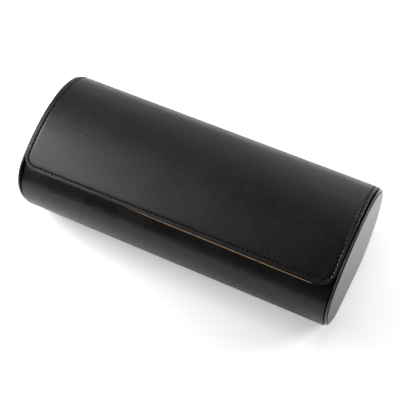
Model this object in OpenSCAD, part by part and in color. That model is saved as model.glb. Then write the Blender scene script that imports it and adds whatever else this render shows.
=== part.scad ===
// Watch travel case: a leather-wrapped hard case of oval section with a wrap-over flap lid.
// X runs along the case, the flap ends at the front (-Y), and Z = 0 is the surface it rests on.
// A normal angle is measured in the YZ section: 0 faces the back, 90 up, 180 the front, 270 down.

/* [Case] */
// Overall length, over both end caps
case_length = 240; // [210:1:300]
// Overall depth, front to back
case_depth = 104; // [98:1:116]
// Height of the end caps
case_height = 82; // [79:1:90]
// Width of the flat base
base_width = 36; // [28:1:44]
// Height of the widest part of the section
waist_height = 44; // [40:1:47]
// Distance of the crown behind the middle of the section
crown_offset = 10; // [5:1:14]
// Distance that the front of the tray stands in from the end caps at its widest
tray_setback = 0.3; // [0:0.1:1.5]
// Height at which the front of the tray is widest
tray_waist_height = 40; // [38:0.5:42]

/* [Wall] */
// Thickness of the outer leather
leather_t = 1; // [0.6:0.1:1.2]
// Thickness of the moulded board of the tray
board_t = 1.8; // [1.4:0.1:2.4]
// Thickness of the suede lining
lining_t = 0.8; // [0.4:0.1:1]
// Thickness of the turned leather binding on the tray's front lip
binding_t = 0.8; // [0.5:0.1:1.2]

/* [Lid] */
// Normal angle at which the flap ends on the front
flap_angle = 135; // [131:1:138]
// Normal angle at which the tray's front lip ends under the flap
lip_angle = 116; // [112:0.5:116.5]
// Normal angle of the middle of the leather hinge at the back
hinge_angle = 28.5; // [24:0.5:34]
// Distance that the lid reaches past the tray's leather at each end
lid_overhang = 0.7; // [0:0.1:1]
// Width of the flexing leather between lid and tray
hinge_width = 3.2; // [2:0.1:5]
// Radius of the flap's front corners
flap_corner = 10; // [6:0.5:14]
// Thickness of the stiffener in the lid
stiffener_t = 1.4; // [1.2:0.1:1.5]
// Thickness of the lid's lining
lid_lining_t = 0.6; // [0.4:0.1:0.8]
// Height that the lid's surface stands past the end caps' rims
lid_stand = 0.5; // [0:0.1:0.6]
// Distance that the lining shows past the flap's front edge
lining_peek = 0.5; // [0.1:0.1:0.8]
// Clearance between the flap's lining and the tray at the flap's edge
flap_clearance = 0.45; // [0.3:0.05:1]

/* [Stitching] */
// Distance of the seam from the flap's edge
seam_margin = 2.8; // [2:0.1:4.5]
// Pitch of the stitches
stitch_pitch = 3.1; // [2.5:0.1:5]
// Length of the thread seen in one stitch
stitch_length = 2.3; // [1.5:0.1:2.4]
// Width of the thread
thread_w = 0.6; // [0.3:0.1:0.9]
// Height that the thread stands above the leather
thread_h = 0.25; // [0.1:0.05:0.3]

/* [End caps] */
// Gap between an end cap and the tray's leather
end_gap = 1.2; // [1.1:0.1:2.5]
// Thickness of an end cap's board
end_board_t = 0.7; // [0.6:0.1:3]
// Thickness of the suede and of the turned leather on an end cap's inner face
end_lining_t = 0.3; // [0.3:0.1:1]
// Thickness of the leather panel on an end cap's outer face
end_panel_t = 0.5; // [0.4:0.1:1.5]
// Height that the end panel stands past the rim
panel_stand = 0.2; // [0:0.1:0.3]
// Width of the rim round the end panel
rim_w = 2.5; // [0.8:0.1:2.5]
// Gap between the rim and the end panel
panel_gap = 0.3; // [0.1:0.1:0.6]
// Width of the leather turned over on an end cap's inner face
turn_w = 5; // [3:0.5:8]

/* [Magnets] */
// Number of magnets along the flap
magnet_count = 3; // [2:1:5]
// Distance of the outermost magnets from the lid's ends
magnet_end = 46; // [20:1:60]
// Normal angle of the magnets
magnet_angle = 120.5; // [120:0.5:122]
// Diameter of a lid magnet
magnet_d = 10; // [6:0.5:10]
// Diameter of a steel keeper in the tray
keeper_d = 11; // [8:0.5:11]
// Depth of a magnet or keeper below either face of its board
magnet_skin = 0.2; // [0.2:0.05:0.35]
// Clearance round a magnet or keeper in its pocket
pocket_clearance = 0.1; // [0.05:0.05:0.3]

/* [Bays] */
// Thickness of a divider with its suede
divider_t = 4; // [3:0.1:6]
// Thickness of the suede on a divider
divider_suede_t = 0.8; // [0.4:0.1:1.2]
// Depth of the dividers' top edge below the cushions' tops
divider_sink = 1; // [0:0.5:6]
// Thickness of the foam bed under a cushion
bed_t = 5; // [3:0.5:8]
// Height of the bed's shoulders above the cushion's underside
bed_side = 17; // [12:0.5:20]
// Clearance between a bed and the dividers and end caps
bed_clearance = 0.3; // [0.1:0.1:0.5]

/* [Cushions] */
// Room above a cushion for the watch, up to the closed lid's lining
watch_room = 20; // [14:0.5:26]
// Gap between a cushion's end and the divider or end cap
cushion_end_gap = 3.8; // [1:0.1:8]
// Depth of a cushion, front to back
cushion_depth = 58; // [50:1:60]
// Radius of a cushion's long edges
cushion_radius = 20; // [16:0.5:21]
// Distance of the cushions behind the middle of the section
cushion_offset = 2; // [0:0.5:4]
// Thickness of a cushion's suede
cushion_suede_t = 1.2; // [0.6:0.1:2]
// Clearance between a cushion and its bed
cushion_clearance = 0.3; // [0.2:0.1:0.6]

/* [Section turns] */
// Turn at which the lower back changes radius
heel_turn = 50; // [44:1:56]
// Turn at which the upper back changes radius
nape_turn = 60; // [50:1:66]
// Turn at which the crown changes radius towards the front
brow_turn = 36; // [33:1:38]
// Turn past the flap's edge at which the tray's front changes radius
cheek_turn = 15; // [10:1:20]
// Turn at which the front changes radius towards the base
chin_turn = 50; // [44:1:56]

/* [Hidden] */
$fn = 96;

CASE_BLACK = "#1b1b1c";
RIM_BLACK = "#232324";
THREAD_BLACK = "#101011";
SUEDE_TAN = "#b98a5e";
BOARD_GREY = "#8b8478";
FOAM_GREY = "#b9b6ae";
STEEL = "silver";

// Turn between neighbouring points of an arc in the section
arc_step = 3;

// An overshoot that keeps a cutting face clear of the face it cuts
over = 1;

// Turn of a pocket about its own axis
pocket_turn = 45;

// Points closer than this are one point
same_point = 0.01;

// Layer depths below the tray's and the lid's outer faces
board_in = leather_t;
lining_in = board_in + board_t;
wall_t = lining_in + lining_t;
lid_out = -lid_stand;
stiffener_in = lid_out + leather_t;
lid_lining_in = stiffener_in + stiffener_t;
lid_inner = lid_lining_in + lid_lining_t;

// Depth of the tray's front under the flap
tray_depth = lid_inner + flap_clearance;

// End cap planes, measured from the middle of the case
cap_out = case_length / 2;
rim_out = cap_out - panel_stand;
board_out = cap_out - end_panel_t;
board_inner = board_out - end_board_t;
cap_inner = board_inner - end_lining_t;
tray_half = cap_inner - end_gap;
lid_half = tray_half + lid_overhang;

// Three bays between two dividers
bay_w = 2 / 3 * (cap_inner - divider_t);
bay_pitch = bay_w + divider_t;
divider_x = bay_pitch / 2;

// Cushions, their beds and the dividers beside them
cushion_length = bay_w - 2 * cushion_end_gap;
cushion_z = wall_t + bed_t + cushion_clearance;
cushion_height = case_height - lid_inner - watch_room - cushion_z;
bed_top = cushion_z + bed_side;
divider_top = cushion_z + cushion_height - divider_sink;

// Magnets and keepers, and their pitch
magnet_t = stiffener_t - 2 * magnet_skin;
keeper_t = board_t - 2 * magnet_skin;
magnet_pitch = 2 * (lid_half - magnet_end) / (magnet_count - 1);

// Unit vector at a normal angle
function unit(angle) = [cos(angle), sin(angle)];

function cross2(a, b) = a[0] * b[1] - a[1] * b[0];

// Two tangent arcs that lead from one point to another, between two normal angles.
// The radius changes after "turn" degrees. Each arc is [centre, radius, first angle, last angle].
function bow(from, to, first, last, turn) =
    let (
        a = unit(first + turn) - unit(first),
        b = unit(last) - unit(first + turn),
        r1 = cross2(to - from, b) / cross2(a, b),
        r2 = cross2(a, to - from) / cross2(a, b)
    )
    [
        [from - r1 * unit(first), r1, first, first + turn],
        [to - r2 * unit(last), r2, first + turn, last]
    ];

// The stretches of arc between two normal angles, each [arc, first angle, last angle].
// The section is gone round twice, so a range may run on past the base.
function stretches(arcs, first, last) = [
    for (lap = [0, 360], a = arcs)
        let (a0 = max(a[2] + lap, first), a1 = min(a[3] + lap, last))
        if (a1 > a0) [a, a0, a1]
];

// The arcs between two normal angles, moved in by a depth
function inset(arcs, depth, first, last) = [
    for (s = stretches(arcs, first, last))
        [s[0][0], s[0][1] - depth, s[1], s[2]]
];

// Points that the sections pass: the base's edges, the widest points and the crown
base_back = [base_width / 2, 0];
base_front = [-base_width / 2, 0];
waist_back = [case_depth / 2, waist_height];
waist_front = [-case_depth / 2, waist_height];
crown = [crown_offset, case_height];
tray_front = [tray_setback - case_depth / 2, tray_waist_height];

// The closed section of the end caps and, moved in, of the lid: back, crown and front
BACK = concat(
    bow(base_back, waist_back, -90, 0, heel_turn),
    bow(waist_back, crown, 0, 90, nape_turn)
);
CAP = concat(
    BACK,
    bow(crown, waist_front, 90, 180, brow_turn),
    bow(waist_front, base_front, 180, 270, chin_turn)
);

// The tray's section, which runs under the flap and comes out below its edge
UNDER_FLAP = inset(CAP, tray_depth, 90, flap_angle);
flap_end = UNDER_FLAP[len(UNDER_FLAP) - 1];
TRAY = concat(
    BACK,
    UNDER_FLAP,
    bow(flap_end[0] + flap_end[1] * unit(flap_angle), tray_front, flap_angle, 180, cheek_turn),
    bow(tray_front, base_front, 180, 270, chin_turn)
);

// The arc of a section that holds a normal angle, and the point there at a depth below the surface
function arc_at(arcs, angle) =
    let (near = angle < 270 ? angle : angle - 360)
    [for (a = arcs) if (near >= a[2] && near < a[3]) a][0];
function point_at(arcs, angle, depth) =
    let (a = arc_at(arcs, angle))
    a[0] + (a[1] - depth) * unit(angle);

// The turn, in degrees, that covers a distance along the surface near a normal angle
function turn_over(arcs, angle, distance) = distance / arc_at(arcs, angle)[1] * 180 / PI;

// The normal angle reached by going back a distance along the surface from a normal angle
function angle_back(arcs, angle, distance) =
    let (
        a = arc_at(arcs, angle - 0.001),
        reach = (angle - a[2]) * PI / 180 * a[1]
    )
    distance <= reach ? angle - distance / a[1] * 180 / PI : angle_back(arcs, a[2], distance - reach);

// The flexing stretch: its ends, and the depth of its lining between those of the tray and the lid
hinge_lining_in = (lining_in + lid_lining_in) / 2;
hinge_turn = turn_over(CAP, hinge_angle, hinge_width) / 2;
tray_back_angle = hinge_angle - hinge_turn;
lid_back_angle = hinge_angle + hinge_turn;

// ---- Section shapes, drawn with the section's Y as 2D x and its Z as 2D y

// A point on a stretch of arc, at a share of its turn and a depth below the surface
function stretch_point(s, share, depth) =
    s[0][0] + (s[0][1] - depth) * unit(s[1] + share * (s[2] - s[1]));

// The points of a section at a depth, between two normal angles. A point where two arcs meet comes once,
// and where the base or a step parts them both ends are kept.
function section_points(arcs, depth, first, last) =
    let (all = stretches(arcs, first, last))
    [
        for (k = [0 : len(all) - 1])
            let (
                steps = ceil((all[k][2] - all[k][1]) / arc_step),
                gap = k == 0 ? over : norm(stretch_point(all[k], 0, depth) - stretch_point(all[k - 1], 1, depth))
            )
            for (i = [gap < same_point ? 1 : 0 : steps])
                stretch_point(all[k], i / steps, depth)
    ];
function reversed(list) = [for (i = [len(list) - 1 : -1 : 0]) list[i]];

// A whole section, filled, at a depth below the surface
module filled(arcs, depth) {
    polygon(section_points(arcs, depth, -90, 270));
}

// A wall that follows a section between two depths and two normal angles
module band(arcs, outer, inner, first, last) {
    polygon(concat(
        section_points(arcs, outer, first, last),
        reversed(section_points(arcs, inner, first, last))
    ));
}

// The U of the tray's wall, from the front lip, under the base and up to the hinge
module tray_band(outer, inner) {
    band(TRAY, outer, inner, lip_angle, 360 + tray_back_angle);
}

// The part of the tray's inside that lies below a height
module tray_inside(top) {
    intersection() {
        filled(TRAY, wall_t);
        translate([-case_depth, 0]) square([2 * case_depth, top]);
    }
}

module rounded_rectangle(width, height, radius) {
    square([width - 2 * radius, height], center = true);
    square([width, height - 2 * radius], center = true);
    for (x = [-1, 1], y = [-1, 1])
        translate([x * (width / 2 - radius), y * (height / 2 - radius)]) circle(radius);
}

// A cushion's outline, grown or shrunk by a margin
module cushion_outline(margin) {
    translate([cushion_offset, cushion_z + cushion_height / 2])
        rounded_rectangle(cushion_depth + 2 * margin, cushion_height + 2 * margin, cushion_radius + margin);
}

// ---- Placing

// Sweeps a section shape along X, centred on x
module along_x(length, x = 0) {
    translate([x, 0, 0]) rotate([90, 0, 90]) linear_extrude(length, center = true) children();
}

// Sweeps a section shape between two distances from the middle, at the side given by its sign
module at_end(side, inner, outer) {
    along_x(outer - inner, side * (inner + outer) / 2) children();
}

// Stands a child on a section's surface: its Z along the normal, its X along the case, -Y to the front
module on_surface(arcs, angle, depth, x) {
    p = point_at(arcs, angle, depth);
    translate([x, p[0], p[1]]) rotate([angle - 90, 0, 0]) children();
}

module at_magnets() {
    for (i = [0 : magnet_count - 1])
        translate([i * magnet_pitch + magnet_end - lid_half, 0, 0]) children();
}

// A round pocket right through a board, for a disc. It is turned so that its seam misses the board's ridges.
module pocket(thickness, disc_d) {
    rotate([0, 0, pocket_turn]) cylinder(h = 4 * thickness, d = disc_d + 2 * pocket_clearance, center = true);
}

// ---- Lid

// What a rounded front corner of a lid layer takes off, at the side given by its sign
module corner_waste(side, border) {
    radius = flap_corner - border;
    waste = flap_corner + over;
    x = lid_half - flap_corner;
    on_surface(CAP, angle_back(CAP, flap_angle, flap_corner), 0, side * x)
        difference() {
            translate([side > 0 ? 0 : -waste, -2 * waste, -waste]) cube([waste, 2 * waste, 2 * waste]);
            cylinder(h = 4 * waste, r = radius, center = true);
        }
}

// A layer of the lid between two depths, held in from the flap's edges by a border.
// A negative border lets the layer show past the front edge and leaves its ends flush.
module lid_layer(outer, inner, border, back) {
    edge = flap_angle - turn_over(CAP, flap_angle, border);
    difference() {
        along_x(2 * (lid_half - max(border, 0))) band(CAP, outer, inner, back, edge);
        for (side = [-1, 1])
            corner_waste(side, border);
    }
}

module lid_leather() {
    color(CASE_BLACK)
        difference() {
            lid_layer(lid_out, lid_lining_in, 0, lid_back_angle);
            lid_layer(stiffener_in, lid_lining_in + over, leather_t, lid_back_angle - over);
        }
}

module lid_stiffener() {
    color(BOARD_GREY)
        difference() {
            lid_layer(stiffener_in, lid_lining_in, leather_t, lid_back_angle);
            at_magnets()
                on_surface(CAP, magnet_angle, stiffener_in + stiffener_t / 2, 0)
                    pocket(stiffener_t, magnet_d);
        }
}

module lid_lining() {
    color(SUEDE_TAN)
        lid_layer(lid_lining_in, lid_inner, -lining_peek, lid_back_angle);
}

module lid_magnets() {
    color(STEEL)
        at_magnets()
            on_surface(CAP, magnet_angle, stiffener_in + stiffener_t / 2, 0)
                cylinder(h = magnet_t, d = magnet_d, center = true);
}

// The seam on the flap. A stitch is [x, distance back from the flap's edge, direction].
seam_radius = flap_corner - seam_margin;
seam_side = lid_half - seam_margin;

// The distance along the surface between two normal angles
function run(arcs, first, last) = total([
    for (a = arcs)
        max(0, min(a[3], last) - max(a[2], first)) * PI / 180 * a[1]
]);
function total(list, i = 0) = i < len(list) ? list[i] + total(list, i + 1) : 0;

function seam_steps(length) = floor(length / stitch_pitch);

front_steps = seam_steps(2 * (lid_half - flap_corner));
corner_steps = seam_steps(seam_radius * PI / 2);
side_steps = seam_steps(run(CAP, lid_back_angle, flap_angle) - flap_corner);

front_stitches = [
    for (i = [0 : front_steps - 1])
        [(i - (front_steps - 1) / 2) * stitch_pitch, seam_margin, 0]
];
corner_stitches = [
    for (side = [-1, 1], i = [0 : corner_steps - 1])
        let (turn = (i + 0.5) * 90 / corner_steps)
        [
            side * (lid_half - flap_corner + seam_radius * sin(turn)),
            flap_corner - seam_radius * cos(turn),
            side * turn
        ]
];
side_stitches = [
    for (side = [-1, 1], i = [0 : side_steps - 1])
        [side * seam_side, flap_corner + (i + 0.5) * stitch_pitch, 90]
];

module lid_stitching() {
    color(THREAD_BLACK)
        for (s = concat(front_stitches, corner_stitches, side_stitches))
            on_surface(CAP, angle_back(CAP, flap_angle, s[1]), lid_out, s[0])
                rotate([0, 0, s[2]])
                    translate([-stitch_length / 2, -thread_w / 2, 0])
                        cube([stitch_length, thread_w, thread_h]);
}

// ---- Hinge: the stretches of outer leather and of lining that flex between tray and lid

module hinge_leather() {
    color(CASE_BLACK)
        along_x(2 * tray_half)
            band(CAP, lid_out / 2, lid_out / 2 + leather_t, tray_back_angle, lid_back_angle);
}

module hinge_lining() {
    color(SUEDE_TAN)
        along_x(2 * tray_half)
            band(CAP, hinge_lining_in, hinge_lining_in + lid_lining_t, tray_back_angle, lid_back_angle);
}

// ---- Tray

module body_leather() {
    color(CASE_BLACK)
        along_x(2 * tray_half) tray_band(0, board_in);
}

module body_board() {
    color(BOARD_GREY)
        difference() {
            along_x(2 * cap_inner) tray_band(board_in, lining_in);
            at_magnets()
                on_surface(TRAY, magnet_angle, board_in + board_t / 2, 0)
                    pocket(board_t, keeper_d);
        }
}

module body_lining() {
    color(SUEDE_TAN)
        along_x(2 * cap_inner) tray_band(lining_in, wall_t);
}

module lip_binding() {
    color(CASE_BLACK)
        along_x(2 * tray_half)
            band(TRAY, 0, wall_t, lip_angle - turn_over(TRAY, lip_angle, binding_t), lip_angle);
}

module keeper_discs() {
    color(STEEL)
        at_magnets()
            on_surface(TRAY, magnet_angle, board_in + board_t / 2, 0)
                cylinder(h = keeper_t, d = keeper_d, center = true);
}

// ---- End caps

module end_board(side) {
    color(BOARD_GREY)
        at_end(side, board_inner, board_out) filled(CAP, rim_w);
}

// The leather turned round the board's edge, with its margin on the inner face
module end_rim(side) {
    color(RIM_BLACK)
        difference() {
            at_end(side, cap_inner, rim_out) filled(CAP, 0);
            at_end(side, board_inner, rim_out + over) filled(CAP, rim_w);
            at_end(side, cap_inner - over, board_inner + over) filled(CAP, turn_w);
        }
}

module end_panel(side) {
    color(CASE_BLACK)
        at_end(side, board_out, cap_out) filled(CAP, rim_w + panel_gap);
}

module end_lining(side) {
    color(SUEDE_TAN)
        at_end(side, cap_inner, board_inner) filled(CAP, turn_w);
}

// ---- Dividers and beds

module divider_board(side) {
    color(BOARD_GREY)
        along_x(divider_t - 2 * divider_suede_t, side * divider_x) tray_inside(divider_top - divider_suede_t);
}

module divider_suede(side) {
    color(SUEDE_TAN)
        difference() {
            along_x(divider_t, side * divider_x) tray_inside(divider_top);
            along_x(divider_t - 2 * divider_suede_t, side * divider_x)
                translate([-case_depth, -over]) square([2 * case_depth, divider_top - divider_suede_t + over]);
        }
}

// A foam bed covered in suede, hollowed for its cushion
module bed(place) {
    color(SUEDE_TAN)
        along_x(bay_w - 2 * bed_clearance, place * bay_pitch)
            difference() {
                tray_inside(bed_top);
                cushion_outline(cushion_clearance);
            }
}

// ---- Watch cushions: foam, a suede band round it and a suede panel at each end

module cushion_foam(place) {
    color(FOAM_GREY)
        along_x(cushion_length - 2 * cushion_suede_t, place * bay_pitch) cushion_outline(-cushion_suede_t);
}

module cushion_suede(place) {
    color(SUEDE_TAN)
        along_x(cushion_length - 2 * cushion_suede_t, place * bay_pitch)
            difference() {
                cushion_outline(0);
                cushion_outline(-cushion_suede_t);
            }
}

module cushion_ends(place) {
    color(SUEDE_TAN)
        for (side = [-1, 1])
            along_x(cushion_suede_t, place * bay_pitch + side * (cushion_length - cushion_suede_t) / 2)
                cushion_outline(0);
}

body_leather();
body_board();
body_lining();
lip_binding();
keeper_discs();
end_board(-1);  // end_board_left
end_board(1);  // end_board_right
end_rim(-1);  // end_rim_left
end_rim(1);  // end_rim_right
end_panel(-1);  // end_panel_left
end_panel(1);  // end_panel_right
end_lining(-1);  // end_lining_left
end_lining(1);  // end_lining_right
divider_board(-1);  // divider_board_left
divider_board(1);  // divider_board_right
divider_suede(-1);  // divider_suede_left
divider_suede(1);  // divider_suede_right
bed(-1);  // bed_left
bed(0);  // bed_center
bed(1);  // bed_right
hinge_leather();
hinge_lining();
lid_leather();
lid_stiffener();
lid_lining();
lid_stitching();
lid_magnets();
cushion_foam(-1);  // cushion_foam_left
cushion_foam(0);  // cushion_foam_center
cushion_foam(1);  // cushion_foam_right
cushion_suede(-1);  // cushion_suede_left
cushion_suede(0);  // cushion_suede_center
cushion_suede(1);  // cushion_suede_right
cushion_ends(-1);  // cushion_ends_left
cushion_ends(0);  // cushion_ends_center
cushion_ends(1);  // cushion_ends_right
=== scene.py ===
"""Dresses the watch travel case: black calf leather, stitched flap, rimmed end caps, suede inside.

Lengths in the classes are millimetres and angles are degrees. A normal angle is measured in the
YZ section: 0 faces the back, 90 up, 180 the front and 270 down.
"""

import logging
import math
from collections.abc import Callable
from dataclasses import dataclass, field
from enum import Enum
from typing import Any, ClassVar

import bmesh
import bpy
import numpy as np
from bpy.types import Material, Node, NodeSocket, NodeTree, Object
from mathutils import Matrix, Vector
from mathutils.bvhtree import BVHTree


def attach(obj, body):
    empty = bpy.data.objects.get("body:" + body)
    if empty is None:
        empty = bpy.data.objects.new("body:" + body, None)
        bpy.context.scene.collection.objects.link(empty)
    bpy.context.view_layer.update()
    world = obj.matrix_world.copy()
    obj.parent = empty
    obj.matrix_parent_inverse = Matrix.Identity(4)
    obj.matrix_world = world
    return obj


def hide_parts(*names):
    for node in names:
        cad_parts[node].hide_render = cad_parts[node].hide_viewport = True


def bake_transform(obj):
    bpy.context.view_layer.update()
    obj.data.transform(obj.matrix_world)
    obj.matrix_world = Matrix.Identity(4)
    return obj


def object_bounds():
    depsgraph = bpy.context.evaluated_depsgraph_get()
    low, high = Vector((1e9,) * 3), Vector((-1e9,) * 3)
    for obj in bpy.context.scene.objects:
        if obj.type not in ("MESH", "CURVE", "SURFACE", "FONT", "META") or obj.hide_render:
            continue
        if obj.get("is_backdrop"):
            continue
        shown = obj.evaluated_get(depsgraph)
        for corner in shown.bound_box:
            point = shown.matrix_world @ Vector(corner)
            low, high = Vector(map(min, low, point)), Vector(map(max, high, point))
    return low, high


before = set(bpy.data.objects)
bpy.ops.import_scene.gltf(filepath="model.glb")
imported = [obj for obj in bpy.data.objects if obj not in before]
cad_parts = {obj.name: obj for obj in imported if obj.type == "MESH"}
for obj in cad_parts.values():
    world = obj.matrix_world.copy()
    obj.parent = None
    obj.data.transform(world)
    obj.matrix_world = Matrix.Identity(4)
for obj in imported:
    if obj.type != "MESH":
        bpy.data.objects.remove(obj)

CAD_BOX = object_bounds()
MM = 0.001
Array = np.ndarray
Surface = Callable[[Array], Array]
# names of the bays and of both ends, by their place along X
PLACES = {-1: "left", 0: "center", 1: "right"}
WHITE = (1.0, 1.0, 1.0, 1.0)
# angles of the eight points round a cord
EIGHT_TURNS = np.radians(np.arange(8) * 45)
log = logging.getLogger("watch_case")


# ---------------------------------------------------------------- the section


def unit(angle: float | Array) -> Array:
    """Unit vector (y, z) at a normal angle.

    Args:
        angle: one angle or an array of them, in degrees.

    Returns:
        The vector or vectors, with (y, z) on the last axis.
    """
    turn = np.radians(angle)
    return np.stack([np.cos(turn), np.sin(turn)], -1)


@dataclass(frozen=True)
class Arc:
    """An arc of the section: centre (y, z), radius, and its first and last normal angle."""

    centre: Array
    radius: float
    first: float
    last: float


def bow(start: Array, end: Array, first: float, last: float, turn: float) -> list[Arc]:
    """Two tangent arcs from one point to another, between two normal angles.

    An arc of radius r from angle p to q moves by r (u(q) - u(p)). The two moves add up to the
    whole, which gives both radii.

    Args:
        start: the first point.
        end: the last point.
        first: normal angle at the first point.
        last: normal angle at the last point.
        turn: degrees after which the radius changes.

    Returns:
        The two arcs.
    """
    a = unit(first + turn) - unit(first)
    b = unit(last) - unit(first + turn)
    r1, r2 = np.linalg.solve(np.stack([a, b], 1), np.subtract(end, start))
    return [
        Arc(start - r1 * unit(first), float(r1), first, first + turn),
        Arc(end - r2 * unit(last), float(r2), first + turn, last),
    ]


@dataclass(frozen=True)
class Run:
    """A stretch of section sampled finely: points, outward normals and distance along it."""

    points: Array
    normals: Array
    distance: Array

    @property
    def length(self) -> float:
        """Distance at the end of the stretch."""
        return float(self.distance[-1])

    def at(self, distance: Array) -> tuple[Array, Array]:
        """Points and normals at distances along the stretch.

        Args:
            distance: distances from its start; beyond the ends it goes on straight.

        Returns:
            Points and unit normals, with (y, z) on the last axis.
        """
        inside = np.clip(distance, self.distance[0], self.length)
        p, n = (
            np.stack([np.interp(inside, self.distance, a[:, k]) for k in (0, 1)], -1)
            for a in (self.points, self.normals)
        )
        n /= np.linalg.norm(n, axis=-1, keepdims=True)
        ahead = np.stack([-n[..., 1], n[..., 0]], -1)
        return p + (distance - inside)[..., None] * ahead, n

    def wrap(self, x: Array, distance: Array, depth: Array) -> Array:
        """Lays flat points on the section: X stays, and each point sinks along the normal.

        Args:
            x: place along the case.
            distance: distance along the stretch.
            depth: depth below the surface; negative stands above it.

        Returns:
            Points (x, y, z), all three broadcast together.
        """
        x, distance, depth = np.broadcast_arrays(x, distance, depth)
        p, n = self.at(distance)
        yz = p - depth[..., None] * n
        return np.concatenate([x[..., None], yz], -1)


@dataclass(frozen=True)
class Section:
    """A closed section made of arcs, in order of their normal angles from -90 to 270."""

    arcs: tuple[Arc, ...]

    def inset(self, depth: float, first: float, last: float) -> list[Arc]:
        """The arcs between two normal angles, moved in by a depth.

        Args:
            depth: how far in.
            first: first normal angle.
            last: last normal angle.

        Returns:
            The arcs, cut at both angles.
        """
        return [
            Arc(a.centre, a.radius - depth, max(a.first, first), min(a.last, last))
            for a in self.arcs
            if min(a.last, last) > max(a.first, first)
        ]

    def run(self, first: float, last: float, step: float = 0.4) -> Run:
        """Samples the section between two normal angles; past 270 it goes on over the base.

        Args:
            first: first normal angle.
            last: last normal angle.
            step: spacing of the samples.

        Returns:
            The stretch, with the flat base filled in where it is passed.
        """
        points, normals = [], []
        for lap in (0, 360):
            for a in self.arcs:
                low, high = max(a.first + lap, first), min(a.last + lap, last)
                if high <= low:
                    continue
                count = max(2, math.ceil(math.radians(high - low) * a.radius / step) + 1)
                facing = unit(np.linspace(low, high, count))
                points.append(a.centre + a.radius * facing)
                normals.append(facing)
        for k in range(len(points) - 1, 0, -1):
            a, b = points[k - 1][-1], points[k][0]
            gap = float(np.linalg.norm(b - a))
            if gap > 0.01:
                share = np.linspace(0, 1, math.ceil(gap / step) + 1)[1:-1, None]
                points.insert(k, a + share * (b - a))
                normals.insert(k, np.repeat(normals[k][:1], len(share), 0))
        p, n = np.concatenate(points), np.concatenate(normals)
        stride = np.linalg.norm(np.diff(p, axis=0), axis=1)
        keep = np.concatenate([[True], stride > 1e-6])
        distance = np.concatenate([[0], np.cumsum(stride)])
        return Run(p[keep], n[keep], distance[keep])


@dataclass(frozen=True)
class CaseShape:
    """The main sizes that every sub-assembly shares, as the construction has them."""

    length: float = 240.0
    depth: float = 104.0
    height: float = 82.0
    base: float = 36.0
    waist: float = 44.0
    crown: float = 10.0
    tray_setback: float = 0.3
    tray_waist: float = 40.0
    flap_angle: float = 135.0
    lip_angle: float = 116.0
    hinge_angle: float = 28.5
    hinge_width: float = 3.2
    lid_stand: float = 0.5
    lid_core: float = 2.4
    lid_lining: float = 0.6
    flap_clearance: float = 0.45
    wall: float = 3.6
    cap_inner: float = 118.5
    tray_half: float = 117.2
    lid_half: float = 117.5
    divider: float = 4.0
    turns: tuple[float, float, float, float, float] = (50.0, 60.0, 36.0, 50.0, 15.0)

    @property
    def back(self) -> list[Arc]:
        """The back of the section.

        Returns:
            Its arcs, from the base up to the crown.
        """
        waist = np.array([self.depth / 2, self.waist])
        top = np.array([self.crown, self.height])
        return bow(np.array([self.base / 2, 0]), waist, -90, 0, self.turns[0]) + bow(
            waist, top, 0, 90, self.turns[1]
        )

    @property
    def cap(self) -> Section:
        """The whole section at the end caps.

        Returns:
            The section.
        """
        top = np.array([self.crown, self.height])
        waist = np.array([-self.depth / 2, self.waist])
        foot = np.array([-self.base / 2, 0])
        front = bow(top, waist, 90, 180, self.turns[2]) + bow(waist, foot, 180, 270, self.turns[3])
        return Section(tuple(self.back + front))

    @property
    def tray(self) -> Section:
        """The tray runs under the flap and comes out below its edge.

        Returns:
            The tray's section.
        """
        sink = self.lid_core - self.lid_stand + self.lid_lining + self.flap_clearance
        hidden = self.cap.inset(sink, 90, self.flap_angle)
        end = hidden[-1].centre + hidden[-1].radius * unit(self.flap_angle)
        belly = np.array([self.tray_setback - self.depth / 2, self.tray_waist])
        foot = np.array([-self.base / 2, 0])
        front = bow(end, belly, self.flap_angle, 180, self.turns[4]) + bow(
            belly, foot, 180, 270, self.turns[3]
        )
        return Section(tuple(self.back + hidden + front))

    @property
    def hinge_turn(self) -> float:
        """Half the angle that the flexing leather covers."""
        radius = next(a.radius for a in self.back if a.first <= self.hinge_angle < a.last)
        return math.degrees(self.hinge_width / radius) / 2

    @property
    def bay_pitch(self) -> float:
        """Distance between the middles of neighbouring bays."""
        return 2 / 3 * (self.cap_inner - self.divider) + self.divider


# ---------------------------------------------------------------- meshes


def grid_faces(rows: int, columns: int, closed: bool = False, start: int = 0) -> Array:
    """Quads of a grid of points, numbered row by row.

    Args:
        rows: number of rows.
        columns: number of points in a row.
        closed: whether each row closes on itself.
        start: index of the first point.

    Returns:
        An array of quads.
    """
    i, j = np.meshgrid(np.arange(rows - 1), np.arange(columns - (not closed)), indexing="ij")
    k = (j + 1) % columns
    here, below = i * columns, (i + 1) * columns
    return (start + np.stack([here + j, below + j, below + k, here + k], -1)).reshape(-1, 4)


def set_down(name: str, data: bpy.types.ID) -> Object:
    """Makes an object at the origin and links it to the scene.

    Args:
        name: the object's name.
        data: its mesh, light or camera.

    Returns:
        The new object.
    """
    thing = bpy.data.objects.new(name, data)
    bpy.context.scene.collection.objects.link(thing)
    return thing


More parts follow.
